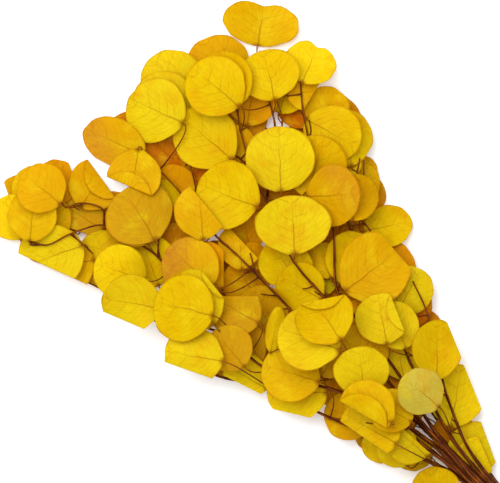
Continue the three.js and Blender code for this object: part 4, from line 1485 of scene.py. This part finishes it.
@dataclass(frozen=True)
class CutWood:
    """The pale wood inside a stem, sawn across: matt, with pores about a millimetre apart."""

    name: str = "sawn_eucalyptus_wood"
    pale_hex: str = "#C79C5C"
    dark_hex: str = "#8E5E2A"
    roughness: float = 0.75
    pore: float = 1.1111

    def material(self) -> bpy.types.Material:
        """Builds the cut end's material.

        Returns:
            The material.
        """
        made, add = bare_material(self.name)
        where = add("TexCoord", out="Object")
        grain = add("TexNoise", {"Vector": where, "Scale": 1 / (self.pore * MM), "Detail": 3.0})
        share = add("MapRange", (grain, 0.35, 0.7, 0.0, 1.0), **SMOOTH)
        colour = add("Mix", {0: share, 6: linear(self.pale_hex), 7: linear(self.dark_hex)}, **COLOUR)
        add("OutputMaterial", (add("BsdfPrincipled", {"Base Color": colour, "Roughness": self.roughness}),))
        return made


@dataclass
class Finishes:
    """The bunch's materials."""

    leaf: bpy.types.Material
    bark: bpy.types.Material
    cut: bpy.types.Material


# The tones that take no warmer shade. A leaf's blush lies in one direction, in degrees from its tip, and
# grows between two shares of the way there. The step and span are those of the numbers by which each leaf
# looks at the patterns in a place of its own.
EVEN_TONES = (Tone.PALE, Tone.LEMON, Tone.OLIVE, Tone.CLEAR)
BLUSH_AIM = 35.0
BLUSH_EDGE = (-0.3, 0.6)
SEED_STEP = 0.618
SEED_SPAN = 7.0

# How ragged a rim is: how many waves go round the blade, and how deep each is as a share of its size.
RIM_RAGS = ((4, 0.012), (7, 0.011), (11, 0.008))


@dataclass
class Foliage:
    """The leaf blades of one leafy stem, as thin cupped sheets."""

    source: LeafyStem
    sides: int = 40
    rings: tuple[float, ...] = (0.16, 0.36, 0.56, 0.74, 0.88, 1.0)
    thickness: float = 0.45
    bend_cuts: int = 4
    on_cut: float = 0.02

    def build(self, finishes: Finishes) -> bpy.types.Object:
        """Builds the blades.

        Args:
            finishes: the bunch's materials.

        Returns:
            The piece.
        """
        bm = bmesh.new()
        layers = (
            bm.verts.layers.float_vector.new("leaf_place"),
            bm.verts.layers.float_color.new("leaf_tone"),
            bm.verts.layers.float_vector.new("leaf_marks"),
        )
        for number, blade in enumerate(self.source.leaves):
            self.add_blade(bm, blade, number, layers)
        for edge in bm.edges:
            edge.smooth = not edge.is_boundary
        for face in bm.faces:
            face.smooth = True
        piece = add_object(bm, f"{self.source.name}_leaves", finishes.leaf)
        walls = piece.modifiers.new("blade_thickness", "SOLIDIFY")
        walls.thickness = self.thickness * MM
        walls.offset = 0.0
        return piece

    def add_blade(
        self, bm: bmesh.types.BMesh, blade: Blade, number: int, layers: tuple[Any, Any, Any]
    ) -> None:
        """Adds one blade: a disc cut at its crease, then shaped and marked.

        Args:
            bm: the mesh that it joins.
            blade: the blade.
            number: its place among the leaves of its stem.
            layers: the mesh's layers for its coordinates, tone and marks.
        """
        verts = self.disc(bm, blade)
        if blade.fold:
            verts = self.cut_crease(bm, blade, verts)
        seed = (number * SEED_STEP + blade.phase) % SEED_SPAN
        shade = 0.0 if blade.tone in EVEN_TONES else max(0.0, math.sin(11 * blade.phase))
        tone = linear(blade.tone.value)
        flat = np.array([v.co[:] for v in verts])
        u, across = flat[:, 0], flat[:, 1]
        x, y, z = self.shape(blade, u, across)
        placed = to_part(x, y, np.maximum(z, LOWEST_SHEET))
        out = blade.share_out(u, across)
        aim = math.radians(BLUSH_AIM)
        blush_at = u / blade.half_long * math.cos(aim) + across / blade.half_wide * math.sin(aim)
        for i, v in enumerate(verts):
            v.co = placed[i]
            v[layers[0]] = (u[i] / blade.half_long, across[i] / blade.half_wide, seed)
            v[layers[1]] = tone
            v[layers[2]] = (out[i], blade.blush * smooth_step(*BLUSH_EDGE, blush_at[i]), shade)

    def disc(self, bm: bmesh.types.BMesh, blade: Blade) -> list[Any]:
        """Adds a blade's flat disc: grown ring by ring, then drawn out to the blade's ragged outline.

        Args:
            bm: the mesh that it joins.
            blade: the blade.

        Returns:
            The disc's points.
        """
        verts = bmesh.ops.create_circle(
            bm, cap_ends=True, cap_tris=True, segments=self.sides, radius=self.rings[0]
        )["verts"]
        edges = list(dict.fromkeys(e for v in verts for e in v.link_edges if e.is_boundary))
        for inner, outer in zip(self.rings, self.rings[1:]):
            grown = bmesh.ops.extrude_edge_only(bm, edges=edges)["geom"]
            ring = [g for g in grown if isinstance(g, bmesh.types.BMVert)]
            bmesh.ops.scale(bm, vec=(outer / inner, outer / inner, 1), verts=ring)
            edges = [g for g in grown if isinstance(g, bmesh.types.BMEdge) and g.is_boundary]
            verts = [*verts, *ring]
        for v in verts:
            share = math.hypot(v.co.x, v.co.y)
            angle = math.atan2(v.co.y, v.co.x)
            ragged = sum(
                deep * math.sin(lobes * angle + lobes * blade.phase) for lobes, deep in RIM_RAGS
            )
            rim = float(blade.rim_share(angle)) * (1 + ragged * share)
            v.co = (blade.half_long * rim * v.co.x, blade.half_wide * rim * v.co.y, 0)
        return verts

    def cut_crease(self, bm: bmesh.types.BMesh, blade: Blade, verts: list[Any]) -> list[Any]:
        """Cuts a flat blade along the lines where its crease bends.

        Args:
            bm: the mesh.
            blade: the blade.
            verts: its points.

        Returns:
            Its points with those of the cuts.
        """
        nu, nv = blade.fold_to
        length = math.pi * CREASE_LIFT / 2
        edges = [e for v in verts for e in v.link_edges]
        faces = [f for v in verts for f in v.link_faces]
        geom = list(dict.fromkeys([*verts, *edges, *faces]))
        for k in range(self.bend_cuts + 1):
            at = blade.fold_at + length * k / self.bend_cuts - length / 2
            cut = bmesh.ops.bisect_plane(
                bm, geom=geom, dist=self.on_cut, plane_co=(nu * at, nv * at, 0), plane_no=(nu, nv, 0)
            )
            geom = list(dict.fromkeys([*cut["geom"], *cut["geom_cut"]]))
        return [g for g in geom if isinstance(g, bmesh.types.BMVert)]

    @staticmethod
    def shape(blade: Blade, u: np.ndarray, v: np.ndarray) -> tuple[np.ndarray, np.ndarray, np.ndarray]:
        """Bends a flat blade into its place in the pile.

        Args:
            blade: the blade.
            u: distances along the flat blade.
            v: distances across it.

        Returns:
            The points in the plan and their heights.
        """
        lift = np.zeros_like(u)
        if blade.fold:
            radius = CREASE_LIFT / 2
            length = math.pi * radius
            past = blade.past_fold(u, v) + length / 2
            turn = np.clip(past / radius, 0, math.pi)
            beyond = np.maximum(0, past - length)
            reached = np.where(past > 0, radius * np.sin(turn) - beyond, past)
            moved = reached - past
            u = u + moved * blade.fold_to[0]
            v = v + moved * blade.fold_to[1]
            lift = blade.fold.side * (radius * (1 - np.cos(turn)) + CREASE_OPENING * beyond)
        x, y = blade.to_plan(u, v)
        return x, y, blade.height(u, v, soft=True) + lift


@dataclass
class Branchwork:
    """The wood of one leafy stem: its main stem, its twigs and its leaf stalks, as tapered round tubes.

    A swelling is how much it adds to the radius, and how far it reaches: in millimetres at a knuckle, and
    as a share of the stalk at a stalk's two ends. A girth is a share of the solids' own, `taper_at` shares
    of the way from the root to the tip. Wood thinner than `young_radius` is a little paler.
    """

    source: LeafyStem
    stem_sides: int = 10
    stalk_sides: int = 6
    knuckle: tuple[float, float] = (0.3, 2.5)
    blade_end: tuple[float, float] = (0.35, 0.08)
    stem_end: tuple[float, float] = (0.5, 0.1)
    stalk_radius: float = 0.62
    taper_at: tuple[float, ...] = (0, 0.12, 0.35, 1)
    girth: tuple[float, ...] = (1.12, 1.12, 0.72, 0.72)
    unevenness: float = 0.05
    uneven_turn: float = 0.9
    young_radius: float = 1.2
    palest_twig: float = 0.2
    palest_stalk: float = 0.8

    @staticmethod
    def swelling(swell: tuple[float, float], away: np.ndarray) -> np.ndarray:
        """How much a swelling adds to the radius, at some distances from its middle."""
        return swell[0] * np.exp(-((away / swell[1]) ** 2))

    def build(self, finishes: Finishes) -> bpy.types.Object:
        """Builds the wood.

        Args:
            finishes: the bunch's materials.

        Returns:
            The piece.
        """
        bm = bmesh.new()
        layer = bm.verts.layers.float_vector.new("wood_place")
        joins = np.array([blade.stalk[-1] for blade in self.source.leaves])
        for piece in self.source.wood:
            fine = self.finer(piece.line)
            away = np.linalg.norm(fine[:, None, :3] - joins[None], axis=2).min(axis=1)
            ripple = self.unevenness * np.sin(np.arange(len(fine)) * self.uneven_turn)
            girth = np.interp(np.linspace(0, 1, len(fine)), self.taper_at, self.girth)
            fine[:, 3] *= (1 + ripple + self.swelling(self.knuckle, away)) * girth
            young = np.clip(self.young_radius - fine[:, 3], 0, self.palest_twig)
            self.add_tube(bm, layer, fine, young, self.stem_sides, piece is self.source.wood[0])
        for blade in self.source.leaves:
            radius = np.full(len(blade.stalk), self.stalk_radius)
            fine = self.finer(np.column_stack([blade.stalk, radius]))
            share = np.linspace(0, 1, len(fine))
            swollen = self.swelling(self.blade_end, share), self.swelling(self.stem_end, 1 - share)
            fine[:, 3] *= 1 + swollen[0] + swollen[1]
            young = self.palest_stalk * (1 - share) ** 1.5
            self.add_tube(bm, layer, fine, young, self.stalk_sides, False)
        bmesh.ops.recalc_face_normals(bm, faces=bm.faces)
        for face in bm.faces:
            face.smooth = len(face.verts) == 4
        return add_object(bm, f"{self.source.name}_wood", finishes.bark, finishes.cut)

    @staticmethod
    def finer(line: np.ndarray) -> np.ndarray:
        """Puts a smooth point between each two points of a line.

        Args:
            line: a row for each point.

        Returns:
            The rows with those of the new points between them.
        """
        padded = np.vstack([2 * line[0] - line[1], line, 2 * line[-1] - line[-2]])
        middle = (-padded[:-3] + 9 * padded[1:-2] + 9 * padded[2:-1] - padded[3:]) / 16
        made = np.empty((2 * len(line) - 1, line.shape[1]))
        made[::2] = line
        made[1::2] = middle
        return made

    def add_tube(
        self, bm: bmesh.types.BMesh, layer: Any, line: np.ndarray, young: np.ndarray, sides: int, sawn: bool
    ) -> None:
        """Adds a tube, grown ring by ring from a capped circle.

        Args:
            bm: the mesh that it joins.
            layer: the mesh's layer for the place along, round and on the wood.
            line: x, y, z and radius at each point.
            young: how young the skin is at each point, from 0 to 1.
            sides: the number of sides.
            sawn: whether the first end is a sawn one.
        """
        points = to_part(line[:, 0], line[:, 1], np.maximum(line[:, 2], line[:, 3] + OFF_FLOOR))
        made = bmesh.ops.create_circle(bm, cap_ends=True, segments=sides, radius=1.0)["verts"]
        first_face = made[0].link_faces[0]
        ring = sorted(made, key=lambda v: math.atan2(v.co.y, v.co.x))
        along = 0.0
        for i, point in enumerate(points):
            if i > 0:
                pairs = zip(ring, ring[1:] + ring[:1])
                edges = [e for v, after in pairs for e in v.link_edges if e.other_vert(v) is after]
                grown = bmesh.ops.extrude_edge_only(bm, edges=edges)["geom"]
                fresh = {g for g in grown if isinstance(g, bmesh.types.BMVert)}
                ring = [
                    next(e.other_vert(v) for e in v.link_edges if e.other_vert(v) in fresh) for v in ring
                ]
                along += float(np.linalg.norm(point - points[i - 1]))
            way = Vector(points[min(i + 1, len(points) - 1)] - points[max(i - 1, 0)]).normalized()
            across = Vector((-way.y, way.x, 0)).normalized()
            up = way.cross(across)
            for k, v in enumerate(ring):
                angle = 2 * math.pi * k / sides
                spoke = across * math.cos(angle) + up * math.sin(angle)
                v.co = Vector(point) + spoke * (line[i, 3] * MM)
                v[layer] = (along, angle, young[i])
        bmesh.ops.contextual_create(bm, geom=ring)
        first_face.material_index = 1 if sawn else 0


class Studio:
    """The pale floor, the soft light and the camera above the bunch, in metres but for the lamp's place."""

    CAMERA_HEIGHT = 10.0
    MIDDLE_HEIGHT = 0.045
    SENSOR = 36.0
    CAMERA_SIGHT = 100.0
    FLOOR_REACH = 3.0
    FLOOR_DROP = 0.0004
    FLOOR_GLOW = 0.2
    WHITE = (1.0, 1.0, 1.0, 1.0)
    PAPER_HEX = "#F7F7F7"
    PAPER_ROUGHNESS = 0.95
    SKY_STRENGTH = 0.75
    LAMP_WATTS = 42.0
    LAMP_SIZE = 1.6
    LAMP_AT = (-250.0, 350.0, 1900.0)

    def build(self) -> None:
        """Builds the studio."""
        bpy.context.scene.view_settings.view_transform = "Standard"
        self.floor()
        self.light()
        self.camera()

    @staticmethod
    def spot(x: float, y: float, z: float) -> np.ndarray:
        """A place of the plan, with its height, in the part's frame."""
        return to_part(np.array([x]), np.array([y]), np.array([z]))[0]

    def floor(self) -> None:
        """Lays a matt white floor under the bunch."""
        bm = bmesh.new()
        bmesh.ops.create_grid(bm, x_segments=1, y_segments=1, size=self.FLOOR_REACH)
        paper = bpy.data.materials.new("matt_white_paper")
        paper.use_nodes = True
        skin = paper.node_tree.nodes["Principled BSDF"]
        skin.inputs["Base Color"].default_value = linear(self.PAPER_HEX)
        skin.inputs["Roughness"].default_value = self.PAPER_ROUGHNESS
        skin.inputs["Emission Color"].default_value = self.WHITE
        skin.inputs["Emission Strength"].default_value = self.FLOOR_GLOW
        floor = add_object(bm, "studio_floor", paper)
        floor.location.z = -self.FLOOR_DROP

    def light(self) -> None:
        """Lights the bunch from all round, with a broad soft lamp up and to the left of the view."""
        world = bpy.data.worlds.new("soft_studio")
        world.use_nodes = True
        background = world.node_tree.nodes["Background"]
        background.inputs["Color"].default_value = self.WHITE
        background.inputs["Strength"].default_value = self.SKY_STRENGTH
        bpy.context.scene.world = world
        lamp = bpy.data.lights.new("soft_lamp", "AREA")
        lamp.energy = self.LAMP_WATTS
        lamp.size = self.LAMP_SIZE
        holder = bpy.data.objects.new("soft_lamp", lamp)
        spot = self.spot(*self.LAMP_AT)
        holder.location = spot
        holder.rotation_euler = (-Vector(spot)).to_track_quat("-Z", "Y").to_euler()
        bpy.context.scene.collection.objects.link(holder)

    def camera(self) -> None:
        """Hangs the camera straight above the middle of the view, with the plan's top as its top."""
        wide, tall = VIEW_SIZE
        data = bpy.data.cameras.new("camera_above")
        data.sensor_width = self.SENSOR
        data.lens = self.SENSOR * (self.CAMERA_HEIGHT - self.MIDDLE_HEIGHT) / (wide * MM)
        data.clip_end = self.CAMERA_SIGHT
        camera = bpy.data.objects.new("camera_above", data)
        middle = self.spot(wide / 2, -tall / 2, 0.0)
        camera.location = (middle[0], middle[1], self.CAMERA_HEIGHT)
        camera.rotation_euler = (0, 0, -math.radians(AXIS_DEGREES))
        bpy.context.scene.collection.objects.link(camera)
        bpy.context.scene.camera = camera


def main() -> None:
    """Lays the pile, then builds and dresses each leafy stem and the studio."""
    shown = [
        right_edge_stem(),
        right_stem(),
        top_right_stem(),
        top_stem(),
        shoulder_stem(),
        left_stem(),
        left_edge_stem(),
    ]
    stems = [*hidden_stems(), *shown]
    pile = Pile()
    pile.lay(stems)
    pile.bend_rims()
    log.info("pile laid: %d blades", len(pile.blades))
    finishes = Finishes(PreservedLeaf().material(), StemBark().material(), CutWood().material())
    for one in stems:
        for maker, slot in ((Foliage(one), "leaf"), (Branchwork(one), "bark")):
            piece = maker.build(finishes)
            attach(piece, "root")
            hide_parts(one.name)
            log.info("%s: %d points", piece.name, len(piece.data.vertices))
    Studio().build()
    bpy.context.view_layer.update()


if __name__ == "__main__":
    main()
